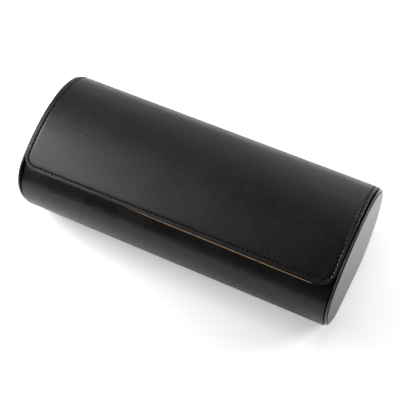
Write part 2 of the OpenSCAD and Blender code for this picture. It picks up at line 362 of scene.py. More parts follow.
@dataclass
class Skin:
    """Collects the grids of one piece and welds them into a closed mesh."""

    name: str
    vertices: list[Array] = field(default_factory=list)
    faces: list[list[int]] = field(default_factory=list)
    flat: list[int] = field(default_factory=list)
    count: int = 0
    weld: float = 0.002

    def add_grid(self, points: Array, closed: bool = False) -> None:
        """Adds a grid of quads.

        Args:
            points: rows x columns x 3, in millimetres.
            closed: whether each row closes on itself.
        """
        rows, columns = points.shape[:2]
        self.faces += grid_faces(rows, columns, closed, self.count).tolist()
        self.vertices.append(points.reshape(-1, 3))
        self.count += rows * columns

    def add_cap(self, loop: Array) -> None:
        """Adds one flat face.

        Args:
            loop: its corners in order, n x 3, in millimetres.
        """
        self.flat.append(len(self.faces))
        self.faces.append(list(range(self.count, self.count + len(loop))))
        self.vertices.append(loop)
        self.count += len(loop)

    def add_tube(self, rings: Array) -> None:
        """Adds closed rings, with a flat face over the first and the last one.

        Args:
            rings: rings x points x 3, in millimetres.
        """
        self.add_grid(rings, closed=True)
        self.add_cap(rings[0])
        self.add_cap(rings[-1])

    def build(self, material: Material, uv: Array | None = None) -> Object:
        """Makes the object at the origin, welded, smooth, and with its faces outwards.

        Args:
            material: the finish.
            uv: one (u, v) for each vertex, for a pattern that follows the surface.

        Returns:
            The new object.
        """
        mesh = bpy.data.meshes.new(self.name)
        mesh.from_pydata((np.concatenate(self.vertices) * MM).tolist(), [], self.faces)
        if uv is not None:
            corner = np.empty(len(mesh.loops), np.int32)
            mesh.loops.foreach_get("vertex_index", corner)
            layer = mesh.uv_layers.new(name="UVMap")
            layer.data.foreach_set("uv", uv[corner].astype(np.float32).ravel())
        smooth = np.ones(len(mesh.polygons), bool)
        smooth[self.flat] = False
        mesh.polygons.foreach_set("use_smooth", smooth)
        work = bmesh.new()
        work.from_mesh(mesh)
        bmesh.ops.remove_doubles(work, verts=work.verts, dist=self.weld * MM)
        bmesh.ops.recalc_face_normals(work, faces=work.faces)
        work.to_mesh(mesh)
        work.free()
        mesh.materials.append(material)
        return set_down(self.name, mesh)


def tube(name: str, rings: Array, material: Material, capped: bool = True) -> Object:
    """A piece made of closed rings.

    Args:
        name: the piece's name.
        rings: rings x points x 3, in millimetres.
        material: the finish.
        capped: whether both ends get a flat face; without, the last ring lies on the first.

    Returns:
        The new object.
    """
    skin = Skin(name)
    if capped:
        skin.add_tube(rings)
    else:
        skin.add_grid(rings, closed=True)
    return skin.build(material)


def swept(
    name: str, run: Run, loop: Array, material: Material, step: float = 1.5, capped: bool = True
) -> Object:
    """A piece whose outline, drawn in X and depth, is carried along a stretch of section.

    A point is the section's point, less depth times its normal, at the outline's X.

    Args:
        name: the piece's name.
        run: the stretch of section.
        loop: the closed outline, n x 2, as (x, depth).
        material: the finish.
        step: spacing along the stretch.
        capped: whether both ends get a flat face; without, the stretch closes on itself.

    Returns:
        The new object.
    """
    along = np.linspace(0, run.length, math.ceil(run.length / step) + 1)
    return tube(name, run.wrap(loop[:, 0], along[:, None], loop[:, 1]), material, capped)


def across_run(name: str, run: Run, half: float, outline: Array, material: Material) -> Object:
    """A strip along X whose outline is drawn in distance along a stretch of section and depth.

    Args:
        name: the piece's name.
        run: the stretch of section.
        half: half its length.
        outline: the closed outline, n x 2, as (distance, depth).
        material: the finish.

    Returns:
        The new object.
    """
    x = np.linspace(-half, half, 60)
    return tube(name, run.wrap(x[:, None], outline[:, 0], outline[:, 1]), material)


def along_x(name: str, outline: Array, stations: Array, material: Material) -> Object:
    """A piece whose YZ outline is carried along X, shrinking a little at its ends.

    At each station the outline's points move in along their own normals by the station's inset.

    Args:
        name: the piece's name.
        outline: the closed outline, n x 2, as (y, z), going anticlockwise seen from +X.
        stations: m x 2, as (x, inset).
        material: the finish.

    Returns:
        The new object.
    """
    tangent = np.roll(outline, -1, 0) - np.roll(outline, 1, 0)
    tangent /= np.maximum(np.linalg.norm(tangent, axis=1, keepdims=True), 1e-9)
    outward = np.stack([tangent[:, 1], -tangent[:, 0]], -1)
    yz = outline[None] - stations[:, None, 1:] * outward[None]
    x = np.broadcast_to(stations[:, None, :1], (*yz.shape[:2], 1))
    return tube(name, np.concatenate([x, yz], -1), material)


def rounded(corners: Array, radii: Array, steps: int = 5) -> Array:
    """A closed outline with its corners rounded by arcs.

    Each corner is cut back by its radius along both sides, and a quadratic curve joins the cuts.

    Args:
        corners: the corners in order, n x 2.
        radii: the cut at each corner.
        steps: points in each rounded corner.

    Returns:
        The outline's points.
    """
    back = np.roll(corners, 1, 0) - corners
    ahead = np.roll(corners, -1, 0) - corners
    reach = np.asarray(radii, float)[:, None]
    a = corners + back / np.linalg.norm(back, axis=1, keepdims=True) * reach
    b = corners + ahead / np.linalg.norm(ahead, axis=1, keepdims=True) * reach
    t = np.linspace(0, 1, steps)[None, :, None]
    curve = (1 - t) ** 2 * a[:, None] + 2 * t * (1 - t) * corners[:, None] + t**2 * b[:, None]
    return curve.reshape(-1, 2)


def oblong(low_x: float, high_x: float, first: float, last: float) -> Array:
    """A four-sided outline in X and depth.

    Args:
        low_x: X of one side.
        high_x: X of the other.
        first: depth that it starts from.
        last: depth that it comes back at.

    Returns:
        Its corners as (x, depth).
    """
    return np.array([[low_x, first], [high_x, first], [high_x, last], [low_x, last]])


def quarter(share: Array) -> Array:
    """Height of a quarter circle, from 0 at a share of 0 to 1 at a share of 1 and beyond.

    Args:
        share: place along it.

    Returns:
        The height.
    """
    return np.sqrt(np.clip(1 - (1 - np.clip(share, 0, 1)) ** 2, 0, 1))


def bell(place: Array, width: float) -> Array:
    """A bell curve of height 1: e to the power of minus the square of place over width.

    Args:
        place: distance from its middle.
        width: distance at which it has fallen to 1 / e.

    Returns:
        The height.
    """
    return np.exp(-((place / width) ** 2))


def eased(share: Array) -> Array:
    """A share from 0 to 1, slowed down at both ends: 3 s^2 - 2 s^3.

    Args:
        share: the share.

    Returns:
        The eased share.
    """
    return share * share * (3 - 2 * share)


def soft_ends(low: float, high: float, radius: float, steps: int = 5) -> Array:
    """Stations for along_x with quarter-round ends.

    Args:
        low: first X.
        high: last X.
        radius: radius of the round at each end.
        steps: stations in each round.

    Returns:
        Stations as (x, inset).
    """
    turn = np.linspace(0, math.pi / 2, steps)
    rise = radius * (1 - np.sin(turn))
    run = radius * (1 - np.cos(turn))
    return np.concatenate([np.stack([low + run, rise], -1), np.stack([high - run, rise], -1)[::-1]])


# ---------------------------------------------------------------- finishes


def linear(hex_colour: str) -> tuple[float, float, float, float]:
    """An sRGB hex colour as linear RGBA.

    Args:
        hex_colour: six hex digits after a hash.

    Returns:
        Linear red, green, blue, and an alpha of 1.
    """
    srgb = np.array([int(hex_colour[k : k + 2], 16) for k in (1, 3, 5)]) / 255
    value = np.where(srgb <= 0.04045, srgb / 12.92, ((srgb + 0.055) / 1.055) ** 2.4)
    return (*map(float, value), 1.0)


def add_node(
    tree: NodeTree, kind: str, settings: dict[str, Any] | None = None,
    stops: tuple[tuple[float, str], ...] = (), **inputs: Any,
) -> Node:
    """Adds a node with its settings, values and links.

    Args:
        tree: the node tree.
        kind: the node's type.
        settings: attributes of the node.
        stops: the two places, from 0 to 1, and sRGB hex colours of a colour ramp.
        **inputs: what each input gets: a value, an output socket to link from, or a node to link
            from, whose first output is meant. Spaces in a socket's name are written as
            underscores, and a name such as _1 is the input with that number.

    Returns:
        The new node.
    """
    node = tree.nodes.new(kind)
    for name, value in (settings or {}).items():
        setattr(node, name, value)
    for name, value in inputs.items():
        key = int(name[1:]) if name.startswith("_") else name.replace("_", " ")
        source = value.outputs[0] if isinstance(value, Node) else value
        if isinstance(source, NodeSocket):
            tree.links.new(source, node.inputs[key])
        else:
            node.inputs[key].default_value = source
    if stops:
        for element, (place, colour) in zip(node.color_ramp.elements, stops, strict=True):
            element.position = place
            element.color = linear(colour)
    return node


@dataclass(frozen=True)
class Coating:
    """What every finish has: a name, and nodes that end in a shader."""

    name: str

    @staticmethod
    def relieved(
        tree: NodeTree, tint: Node | NodeSocket, stops: tuple[tuple[float, str], ...],
        height: Node | NodeSocket, strength: float, relief: float, **inputs: Any,
    ) -> Node:
        """A shader with a ramp of two colours over one pattern and a relief from another.

        Args:
            tree: the node tree.
            tint: the pattern that the colours follow.
            stops: places from 0 to 1 and their sRGB hex colours.
            height: the pattern that stands out.
            strength: how strongly the relief shows.
            relief: its height in millimetres.
            **inputs: the shader's other inputs, as add_node has them.

        Returns:
            The shader.
        """
        colour = add_node(tree, "ShaderNodeValToRGB", stops=stops, Fac=tint)
        bump = add_node(
            tree, "ShaderNodeBump", Height=height, Strength=strength, Distance=relief * MM
        )
        return add_node(
            tree, "ShaderNodeBsdfPrincipled", Base_Color=colour, Normal=bump, **inputs
        )

    def make(self) -> Material:
        """Builds the material.

        Returns:
            The material.
        """
        material = bpy.data.materials.new(self.name)
        material.use_nodes = True
        tree = material.node_tree
        tree.nodes.clear()
        shader = self.shade(tree, self.place(tree))
        add_node(tree, "ShaderNodeOutputMaterial", Surface=shader)
        return material

    def place(self, tree: NodeTree) -> NodeSocket:
        """Where the pattern is laid: the place on the piece, in metres."""
        return add_node(tree, "ShaderNodeTexCoord").outputs["Object"]

    def shade(self, tree: NodeTree, place: NodeSocket) -> Node:
        """Adds the nodes of the finish.

        Args:
            tree: the node tree.
            place: where the pattern is laid.

        Returns:
            The shader.
        """
        raise NotImplementedError


@dataclass(frozen=True)
class CalfLeather(Coating):
    """Smooth calf leather, drum dyed and lightly plated: a fine pebble under a satin topcoat.

    The pebble is about twice as coarse as real calf has it, so that it shows in a small render.
    Pebble, relief and cloud are millimetres; folds are 1.2 pebbles wide.
    """

    dark: str
    light: str
    roughness: float
    pebble: float = 0.72
    relief: float = 0.105
    coat: float = 0.1
    fold: float = 1.2
    fold_weight: float = 0.8
    cloud: float = 24.0

    def shade(self, tree: NodeTree, place: NodeSocket) -> Node:
        """Domed cells with folds between them, and a slow cloud in the dye and the gloss.

        Args:
            tree: the node tree.
            place: where the pattern is laid.

        Returns:
            The shader.
        """
        cells = add_node(
            tree, "ShaderNodeTexVoronoi", {"feature": "SMOOTH_F1"}, Vector=place,
            Scale=1 / (self.pebble * MM), Smoothness=0.35, Randomness=1.0,
        )
        folds = add_node(
            tree, "ShaderNodeTexNoise", Vector=place, Scale=1 / (self.pebble * self.fold * MM),
            Detail=3.0, Roughness=0.6,
        )
        cloud = add_node(
            tree, "ShaderNodeTexNoise", Vector=place, Scale=1 / (self.cloud * MM),
            Detail=4.0, Roughness=0.55,
        ).outputs["Fac"]
        dome = add_node(
            tree, "ShaderNodeMapRange", {"interpolation_type": "SMOOTHSTEP"},
            Value=cells.outputs["Distance"], From_Min=0.05, From_Max=0.6, To_Min=1.0, To_Max=0.0,
        )
        height = add_node(
            tree, "ShaderNodeMath", {"operation": "MULTIPLY_ADD"},
            _0=folds.outputs["Fac"], _1=self.fold_weight, _2=dome,
        )
        gloss = add_node(
            tree, "ShaderNodeMapRange", Value=cloud, From_Min=0.3, From_Max=0.7,
            To_Min=self.roughness - 0.03, To_Max=self.roughness + 0.04,
        )
        return self.relieved(
            tree, cloud, ((0.35, self.dark), (0.68, self.light)), height, 1.0, self.relief,
            Roughness=gloss, IOR=1.5, Coat_Weight=self.coat, Coat_Roughness=0.3,
        )


@dataclass(frozen=True)
class Microsuede(Coating):
    """Microfibre suede, brushed: a dense short nap, so it looks soft and a little cloudy.

    Stroke, nap and relief are millimetres.
    """

    dark: str
    light: str
    stroke: float = 9.0
    nap: float = 0.35
    nap_weight: float = 0.35
    relief: float = 0.12
    sheen: str = "#f2dcc0"

    def shade(self, tree: NodeTree, place: NodeSocket) -> Node:
        """Strokes left by brushing, a fine nap over them, and the sheen of its fibres.

        Args:
            tree: the node tree.
            place: where the pattern is laid.

        Returns:
            The shader.
        """
        brushed = add_node(
            tree, "ShaderNodeTexNoise", Vector=place, Scale=1 / (self.stroke * MM),
            Detail=6.0, Roughness=0.62, Distortion=0.6,
        )
        nap = add_node(
            tree, "ShaderNodeTexNoise", Vector=place, Scale=1 / (self.nap * MM), Detail=2.0
        ).outputs["Fac"]
        mixed = add_node(
            tree, "ShaderNodeMath", {"operation": "MULTIPLY_ADD"},
            _0=nap, _1=self.nap_weight, _2=brushed.outputs["Fac"],
        )
        return self.relieved(
            tree, mixed, ((0.5, self.dark), (0.85, self.light)), nap, 0.55, self.relief,
            Roughness=0.93, Specular_IOR_Level=0.2, Sheen_Weight=0.35, Sheen_Roughness=0.45,
            Sheen_Tint=linear(self.sheen),
        )


@dataclass(frozen=True)
class WaxedThread(Coating):
    """Twisted polyester thread with wax: a tight slanting lay and a soft shine.

    U runs along each stitch from 0 to 1. Up to u = 0.12 its ends are coloured near black: painted
    shade where they go down into their holes.
    """

    colour: str
    hole_shade: str = "#020202"
    dark_to: float = 0.12
    clear_from: float = 0.24
    relief: float = 0.08

    def place(self, tree: NodeTree) -> NodeSocket:
        """Where the pattern is laid: along and round each stitch, by its own UV map."""
        return add_node(tree, "ShaderNodeUVMap", {"uv_map": "UVMap"}).outputs["UV"]

    def shade(self, tree: NodeTree, place: NodeSocket) -> Node:
        """The lay as slanting waves, and painted shade in the colour with a duller gloss towards
        both ends.

        Args:
            tree: the node tree.
            place: where the pattern is laid.

        Returns:
            The shader.
        """
        stretched = add_node(tree, "ShaderNodeMapping", Vector=place, Scale=(6.0, 1.0, 1.0))
        lay = add_node(
            tree, "ShaderNodeTexWave", {"bands_direction": "DIAGONAL"}, Vector=stretched,
            Scale=1.4, Distortion=0.3,
        ).outputs["Fac"]
        u = add_node(tree, "ShaderNodeSeparateXYZ", Vector=place).outputs["X"]
        from_end = add_node(tree, "ShaderNodeMath", {"operation": "PINGPONG"}, _0=u, _1=0.5)
        dull = add_node(
            tree, "ShaderNodeMapRange", Value=from_end, From_Min=self.dark_to,
            From_Max=self.clear_from, To_Min=0.95, To_Max=0.6,
        )
        # near black at the ends: painted shade of the holes
        stops = ((self.dark_to, self.hole_shade), (self.clear_from, self.colour))
        return self.relieved(tree, from_end, stops, lay, 0.6, self.relief, Roughness=dull)


@dataclass(frozen=True)
class GrooveShadePaint(Coating):
    """Near-black acrylic paint brushed on a cut edge: painted shade for the groove beside it, matt
    and a little uneven, so it reads as a dark line.

    Stroke and relief are millimetres.
    """

    dark: str
    light: str
    stroke: float = 0.8
    relief: float = 0.04

    def shade(self, tree: NodeTree, place: NodeSocket) -> Node:
        """Brush marks in colour and height.

        Args:
            tree: the node tree.
            place: where the pattern is laid.

        Returns:
            The shader.
        """
        brushed = add_node(
            tree, "ShaderNodeTexNoise", Vector=place, Scale=1 / (self.stroke * MM), Detail=2.0
        ).outputs["Fac"]
        stops = ((0.3, self.dark), (0.7, self.light))
        return self.relieved(
            tree, brushed, stops, brushed, 0.4, self.relief, Roughness=0.9, Specular_IOR_Level=0.15
        )


@dataclass(frozen=True)
class PressedBoard(Coating):
    """Moulded grey board: matt pulp with fibres in it. Fibre and relief are millimetres."""

    dark: str
    light: str
    fibre: float = 1.2
    relief: float = 0.05

    def shade(self, tree: NodeTree, place: NodeSocket) -> Node:
        """Fibres drawn out along the case, in colour and height.

        Args:
            tree: the node tree.
            place: where the pattern is laid.

        Returns:
            The shader.
        """
        stretched = add_node(tree, "ShaderNodeMapping", Vector=place, Scale=(1.0, 3.0, 3.0))
        fibre = add_node(
            tree, "ShaderNodeTexNoise", Vector=stretched, Scale=1 / (self.fibre * MM),
            Detail=5.0, Distortion=1.2,
        ).outputs["Fac"]
        stops = ((0.35, self.dark), (0.65, self.light))
        return self.relieved(tree, fibre, stops, fibre, 0.3, self.relief, Roughness=0.9)


@dataclass(frozen=True)
class OpenCellFoam(Coating):
    """Polyether foam: small open cells, coloured darker in their hollows as painted shade. Cell and
    relief are millimetres.
    """

    dark: str
    light: str
    cell: float = 0.7
    relief: float = 0.2

    def shade(self, tree: NodeTree, place: NodeSocket) -> Node:
        """Cells that are lower towards their middles and coloured darker there: painted shade.

        Args:
            tree: the node tree.
            place: where the pattern is laid.

        Returns:
            The shader.
        """
        cells = add_node(
            tree, "ShaderNodeTexVoronoi", Vector=place, Scale=1 / (self.cell * MM)
        ).outputs["Distance"]
        # dark where the cells are low: painted shade in the hollows
        stops = ((0.1, self.dark), (0.6, self.light))
        return self.relieved(tree, cells, stops, cells, 0.6, self.relief, Roughness=0.95)


@dataclass(frozen=True)
class PlatedSteel(Coating):
    """Steel disc, turned and plated: a clear reflection with a fine unevenness in its gloss."""

    colour: str
    roughness: float
    grain: float = 0.3
    spread: float = 0.06

    def shade(self, tree: NodeTree, place: NodeSocket) -> Node:
        """Polished metal whose roughness varies over a fine grain.

        Args:
            tree: the node tree.
            place: where the pattern is laid.

        Returns:
            The shader.
        """
        grain = add_node(
            tree, "ShaderNodeTexNoise", Vector=place, Scale=1 / (self.grain * MM), Detail=2.0
        )
        gloss = add_node(
            tree, "ShaderNodeMapRange", Value=grain.outputs["Fac"],
            To_Min=self.roughness - self.spread, To_Max=self.roughness + self.spread,
        )
        return add_node(
            tree, "ShaderNodeBsdfPrincipled", Base_Color=linear(self.colour), Metallic=1.0,
            Roughness=gloss,
        )


class Finish(Enum):
    """The finishes of the case."""

    LID = CalfLeather("calf leather, flap", "#161617", "#1d1d1e", 0.35)
    TRAY = CalfLeather("calf leather, tray", "#151516", "#1c1c1d", 0.28, relief=0.05)
    # the rim's leather is coloured lighter than the flap's: painted highlight on the rim
    RIM_LIT = CalfLeather("calf leather, turned edge, lightened as painted highlight", "#232324", "#2e2e2f", 0.36, 0.72, 0.08, 1.0)
    PANEL = CalfLeather("calf leather, end panel", "#171718", "#1f1f20", 0.36, 0.72, 0.07, 0.7)
    # near black: painted shade in the groove round each end panel
    GROOVE_SHADE = GrooveShadePaint("edge paint, matt black, painted groove shade", "#030303", "#060606")
    BINDING = CalfLeather("calf leather, skived binding", "#131314", "#1b1b1c", 0.4)
    SUEDE = Microsuede("tan microsuede, lining", "#c0966d", "#dcb68d")
    PIPING = Microsuede("tan microsuede, piping", "#a97c52", "#cfa478")
    THREAD = WaxedThread("waxed black thread", "#0e0e0f")
    BOARD = PressedBoard("pressed grey board", "#6e685d", "#8f887b")
    FOAM = OpenCellFoam("grey open cell foam", "#8f8c85", "#c4c1b9")
    KEEPER = PlatedSteel("zinc plated steel", "#8c8d8f", 0.34)
    MAGNET = PlatedSteel("nickel plated magnet", "#a9a7a3", 0.2)


class Finishes:
    """Makes each finish once and hands it out."""

    def __init__(self) -> None:
        """Starts with none made."""
        self.made: dict[Finish, Material] = {}

    def __getitem__(self, finish: Finish) -> Material:
        """The material of a finish.

        Args:
            finish: which finish.

        Returns:
            Its material.
        """
        if finish not in self.made:
            self.made[finish] = finish.value.make()
        return self.made[finish]


@dataclass(frozen=True)
class Assembly:
    """What every sub-assembly has: the case's sizes, the finishes and the body it moves with."""

    shape: CaseShape
    finishes: Finishes
    body: ClassVar[str] = "case"

    def dress(self, finish: Finish, slot: str, *nodes: str) -> None:
        """Gives construction pieces whose shape is right their material.

        Args:
            finish: which finish.
            slot: the record's material slot; not used.
            *nodes: names of the pieces.
        """
        for name in nodes:
            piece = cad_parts[name]
            piece.data.materials.clear()
            piece.data.materials.append(self.finishes[finish])
            log.info("%s: %s", name, finish.value.name)

    def settle(self, piece: Object, slot: str, *nodes: str, body: str | None = None) -> None:
        """Puts a new piece on its body, in place of construction pieces.

        Args:
            piece: the new piece.
            slot: the record's material slot; not used.
            *nodes: the pieces that it stands for.
            body: the body it moves with, where it isn't the sub-assembly's own.
        """
        body = body or self.body
        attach(piece, body)
        if nodes:
            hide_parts(*nodes)
        log.info("%s: %d faces on %s", piece.name, len(piece.data.polygons), body)


# ---------------------------------------------------------------- the lid


@dataclass(frozen=True)
class FlapPlan:
    """The flap laid flat: X along the case, and the distance back from its front edge.

    A border strip follows the edge inwards for the corner's radius, and a plain grid fills the
    rest, so that a profile can be given by the distance from the edge alone.
    """

    half: float
    front: float
    back: float
    radius: float
    corner_points: int = 13

    def lay(self, rings: Array, step: float) -> list[tuple[Array, Array, Array]]:
        """Grids that cover the flap.

        Args:
            rings: distances from the edge, from 0 to the corner's radius.
            step: spacing of the grid.

        Returns:
            (x, distance back, distance from the edge) for the border strip and for the field.
        """
        inner = self.half - self.radius
        low = self.front + self.radius
        x = np.linspace(-inner, inner, math.ceil(2 * inner / step) + 1)
        s = np.linspace(low, self.back, math.ceil((self.back - low) / step) + 1)
        turn = np.radians(np.linspace(180, 270, self.corner_points))[1:-1]
        d = rings[:, None]
        side_x, side_s = np.broadcast_arrays(-self.half + d, s[None, ::-1])
        turn_x = -inner + (self.radius - d) * np.cos(turn)
        turn_s = low + (self.radius - d) * np.sin(turn)
        front_x, front_s = np.broadcast_arrays(x, self.front + d)
        border_x = np.concatenate([side_x, turn_x, front_x, -turn_x[:, ::-1], -side_x[:, ::-1]], 1)
        border_s = np.concatenate([side_s, turn_s, front_s, turn_s[:, ::-1], side_s[:, ::-1]], 1)
        field_x, field_s = np.meshgrid(x, s, indexing="ij")
        return [
            (border_x, border_s, np.broadcast_to(d, border_x.shape)),
            (field_x, field_s, np.full(field_x.shape, rings[-1])),
        ]


@dataclass(frozen=True)
class Lid(Assembly):
    """The wrap-over flap: leather over a stiffener, a stitched border, suede inside, magnets."""

    body: ClassVar[str] = "lid"
    step: float = 2.0
    corner: float = 10.0
    edge_round: float = 0.6
    seam_margin: float = 2.65
    groove: float = 0.4
    groove_width: float = 0.6
    puff: float = 0.12
    puff_width: float = 1.6
    border_rise: float = 0.1
    past_edge: float = 8.0
    # the front edge's slant, and how the sides flare towards it
    skew: float = 0.0118
    skew_start: float = 0.25
    skew_fade: float = 45.0
    flare: float = 0.2
    flare_fade: float = 60.0
    right_trim: float = 0.4
    # leather turned in under the front edge: reach, inset, width and two heights in the core
    turn_in: float = 0.85
    turn_inset: float = 0.5
    turn_width: float = 12.0
    turn_heights: tuple[float, float] = (0.35, 0.02)
    # the lining: its inset and corner, and how far its front edge reaches on the right and left
    lining_inset: float = 2.2
    lining_corner: float = 15.0
    peek: float = 1.75
    peek_left: float = 0.6
    peek_start: float = -62.0
    peek_run: float = 50.0
    # stitches: spacing, length, thickness, rise over the leather and depth in their holes
    stitch_pitch: float = 3.1
    stitch_length: float = 2.1
    thread: float = 0.5
    stitch_rise: float = 0.38
    stitch_sink: float = 0.3
    arch_power: float = 0.6
    taper: float = 0.4
    flatness: float = 0.75
    slot: tuple[float, float] = (1.15, 0.72)
    slot_drop: float = 0.03

    @property
    def run(self) -> Run:
        """The section under the flap, measured back from the flap's nominal front edge.

        Returns:
            The stretch from a little past that edge back to the hinge.
        """
        s = self.shape
        forward = s.cap.run(s.hinge_angle + s.hinge_turn, s.flap_angle + self.past_edge)
        past = s.cap.run(s.flap_angle, s.flap_angle + self.past_edge).length
        back = forward.length - forward.distance - past
        return Run(forward.points[::-1], forward.normals[::-1], back[::-1])

    @property
    def underside(self) -> float:
        """Depth of the stiffened core's inner face below the end caps' surface."""
        return self.shape.lid_core - self.shape.lid_stand

    def skewed(self, x: Array) -> Array:
        """How far the leather's front edge reaches down: it isn't quite parallel to the case.

        Args:
            x: place along the case.

        Returns:
            The reach past the nominal edge.
        """
        return self.skew_start - self.skew * x

    def wrap(self, x: Array, back: Array, depth: Array, reach: Surface) -> Array:
        """Lays flat points of the flap on its section; see Run.wrap.

        The reach at each X is added at the front edge and fades away from it by a bell curve. The
        left side flares out a little towards the front and the right side draws in away from it,
        both in proportion to the square of X.

        Args:
            x: place along the case.
            back: distance back from the nominal front edge.
            depth: depth below the end caps' surface.
            reach: how far the layer's front edge lies past the nominal one, from X.

        Returns:
            Points (x, y, z).
        """
        x, back, depth = np.broadcast_arrays(x, back, depth)
        near = bell(back, self.skew_fade)
        left, right = (np.clip(way * x / self.shape.lid_half, 0, 1) ** 2 for way in (-1, 1))
        away = back / self.flare_fade
        flared = self.flare * left * (1 - away) + self.right_trim * right * np.clip(away, 0, 1)
        return self.run.wrap(x - flared, back - near * reach(x), depth)

    def slab(
        self, name: str, plan: FlapPlan, rings: Array, upper: Surface, lower: Surface,
        reach: Surface, material: Material,
    ) -> Object:
        """A closed layer of the lid, between two surfaces that meet at its edge.

        Args:
            name: the piece's name.
            plan: its outline.
            rings: distances from the edge.
            upper: depth of the outer surface, from the distance from the edge.
            lower: depth of the inner surface, likewise.
            reach: how far the front edge lies past the nominal one, from X.
            material: the finish.

        Returns:
            The new object.
        """
        skin = Skin(name)
        ends = []
        for surface in (upper, lower):
            border, middle = plan.lay(rings, self.step)
            for x, back, d in (border, middle):
                skin.add_grid(self.wrap(x, back, surface(d), reach))
            row, near = (
                np.concatenate([border[k][:, 0], middle[k][1:-1, -1], border[k][::-1, -1]])
                for k in (0, 2)
            )
            ends.append(self.wrap(row, np.full(row.shape, plan.back), surface(near), reach))
        skin.add_grid(np.stack(ends))
        return skin.build(material)

    def surface(self, d: Array) -> Array:
        """Depth of the outer surface.

        It falls to the middle of the thickness over a quarter ellipse at the edge, dips by a
        bell curve at the seam, and rises a little inside it. From the seam outwards the border
        rises with the square of the distance, as leather turned over an edge does.

        Args:
            d: distance from the edge.

        Returns:
            The depth below the end caps' surface.
        """
        half_t = self.shape.lid_core / 2
        seam = self.groove * bell(d - self.seam_margin, self.groove_width)
        inside = np.clip(d - self.seam_margin, 0, None)
        rise = self.puff * (1 - np.exp(-inside / self.puff_width))
        rise_out = self.border_rise * np.clip(1 - d / self.seam_margin, 0, 1) ** 2
        body = (half_t + rise_out) * (1 - quarter(d / self.edge_round)) - rise_out
        return body - self.shape.lid_stand + seam - rise

    def build_leather(self) -> None:
        """The outer leather, and the leather turned in under its front edge."""
        s = self.shape
        half_t = s.lid_core / 2
        at_edge = [0, 0.03, 0.08, 0.16, 0.27, 0.4, 0.55, 0.75, 1.0, 1.3]
        at_seam = np.arange(1.55, 3.8, 0.15)
        rings = np.concatenate([at_edge, at_seam, [4.2, 5, 6.5, 8, self.corner]])
        plan = FlapPlan(s.lid_half, 0.0, self.run.length, self.corner)
        piece = self.slab(
            "lid_leather_skin", plan, rings, self.surface,
            lambda d: half_t - s.lid_stand + half_t * quarter(d / self.edge_round),
            self.skewed, self.finishes[Finish.LID],
        )
        self.settle(piece, "black_leather", "lid_leather")

        radius = self.corner - self.turn_inset
        high, low = (self.underside - height for height in self.turn_heights)
        plan = FlapPlan(s.lid_half - self.turn_inset, 0.0, self.turn_width, radius)
        piece = self.slab(
            "lid_turned_leather", plan, np.array([0, 0.1, 0.3, 2, radius]),
            lambda d: high + 0 * d, lambda d: low + 0 * d, lambda x: self.turn_in + 0 * x,
            self.finishes[Finish.BINDING],
        )
        self.settle(piece, "black_leather")

    def build_lining(self) -> None:
        """The suede lining, whose edge shows along the front as a line that fades leftwards."""
        s = self.shape
        top, half_t = self.underside, s.lid_lining / 2

        def reach(x: Array) -> Array:
            """How far the lining's front edge reaches."""
            share = eased(np.clip((x - self.peek_start) / self.peek_run, 0, 1))
            return self.peek_left + (self.peek - self.peek_left) * share

        rings = np.array([0, 0.05, 0.15, half_t, 0.6, 2, 5, 10, self.lining_corner])
        plan = FlapPlan(s.lid_half - self.lining_inset, 0.0, self.run.length, self.lining_corner)
        piece = self.slab(
            "lid_lining_suede", plan, rings,
            lambda d: top + half_t * (1 - quarter(d / half_t)),
            lambda d: top + half_t * (1 + quarter(d / half_t)),
            reach, self.finishes[Finish.SUEDE],
        )
        self.settle(piece, "tan_suede", "lid_lining")

    def seam(self) -> Array:
        """Places of the stitches on the flap laid flat.

        Returns:
            n x 4: X, distance back, and the unit direction (X, back) of the stitch.
        """
        side_x = self.shape.lid_half - self.seam_margin
        radius = self.corner - self.seam_margin
        inner = self.shape.lid_half - self.corner
        lengths = (2 * inner, radius * math.pi / 2, self.run.length - self.corner)
        front, bend, side = (np.arange(round(v / self.stitch_pitch)) + 0.5 for v in lengths)
        x = (front / len(front) * 2 - 1) * inner
        turn = np.radians(bend * 90 / len(bend))
        sin, cos = np.sin(turn), np.cos(turn)
        back = self.corner + side * lengths[2] / len(side)
        zero, one = np.zeros(len(side)), np.ones(len(side))
        parts = [np.stack([x, 0 * x + self.seam_margin, 0 * x + 1, 0 * x], -1)]
        for way in (-1, 1):
            bent = [way * (inner + radius * sin), self.corner - radius * cos, way * cos, sin]
            parts += [np.stack(bent, -1), np.stack([way * side_x * one, back, zero, one], -1)]
        return np.concatenate(parts)

    def build_stitching(self) -> None:
        """The stitches: each a thread that rises out of its hole and goes down into the next one.

        A stitch is a tube with an arched middle line: its height follows a half sine of the
        place along it, raised to a power, and its radius shrinks towards both ends. It lies in a
        slot that it has pulled into the leather, an ellipse seen from above, coloured near black as
        painted shade of the hole.
        """
        seam = self.seam()[:, :, None, None]

        def offset(ahead: Array, across: Array) -> tuple[Array, Array]:
            """X and distance back at places along and across every stitch."""
            x = seam[:, 0] + ahead * seam[:, 2] - across * seam[:, 3]
            return x, seam[:, 1] + ahead * seam[:, 3] + across * seam[:, 2]

        u = np.linspace(0, 1, 11)
        v = EIGHT_TURNS
        arch = np.sin(math.pi * u) ** self.arch_power
        size = (self.thread / 2 * (self.taper + (1 - self.taper) * arch))[:, None]
        lift = (self.stitch_rise * arch - self.stitch_sink)[:, None]
        depth = self.groove - self.shape.lid_stand - (lift + self.flatness * size * np.sin(v))
        x, back = offset(((u - 0.5) * self.stitch_length)[:, None], size * np.cos(v))
        threads = self.wrap(x, back, depth, self.skewed)

        ahead, across = np.sin(v) * self.slot[0], np.cos(v) * self.slot[1]
        x, back = offset(ahead, across)
        mouth = self.surface(self.seam_margin + across) - self.slot_drop
        floor = np.full(mouth.shape, self.groove)
        slots = self.wrap(x, back, np.stack([floor, mouth]), self.skewed)

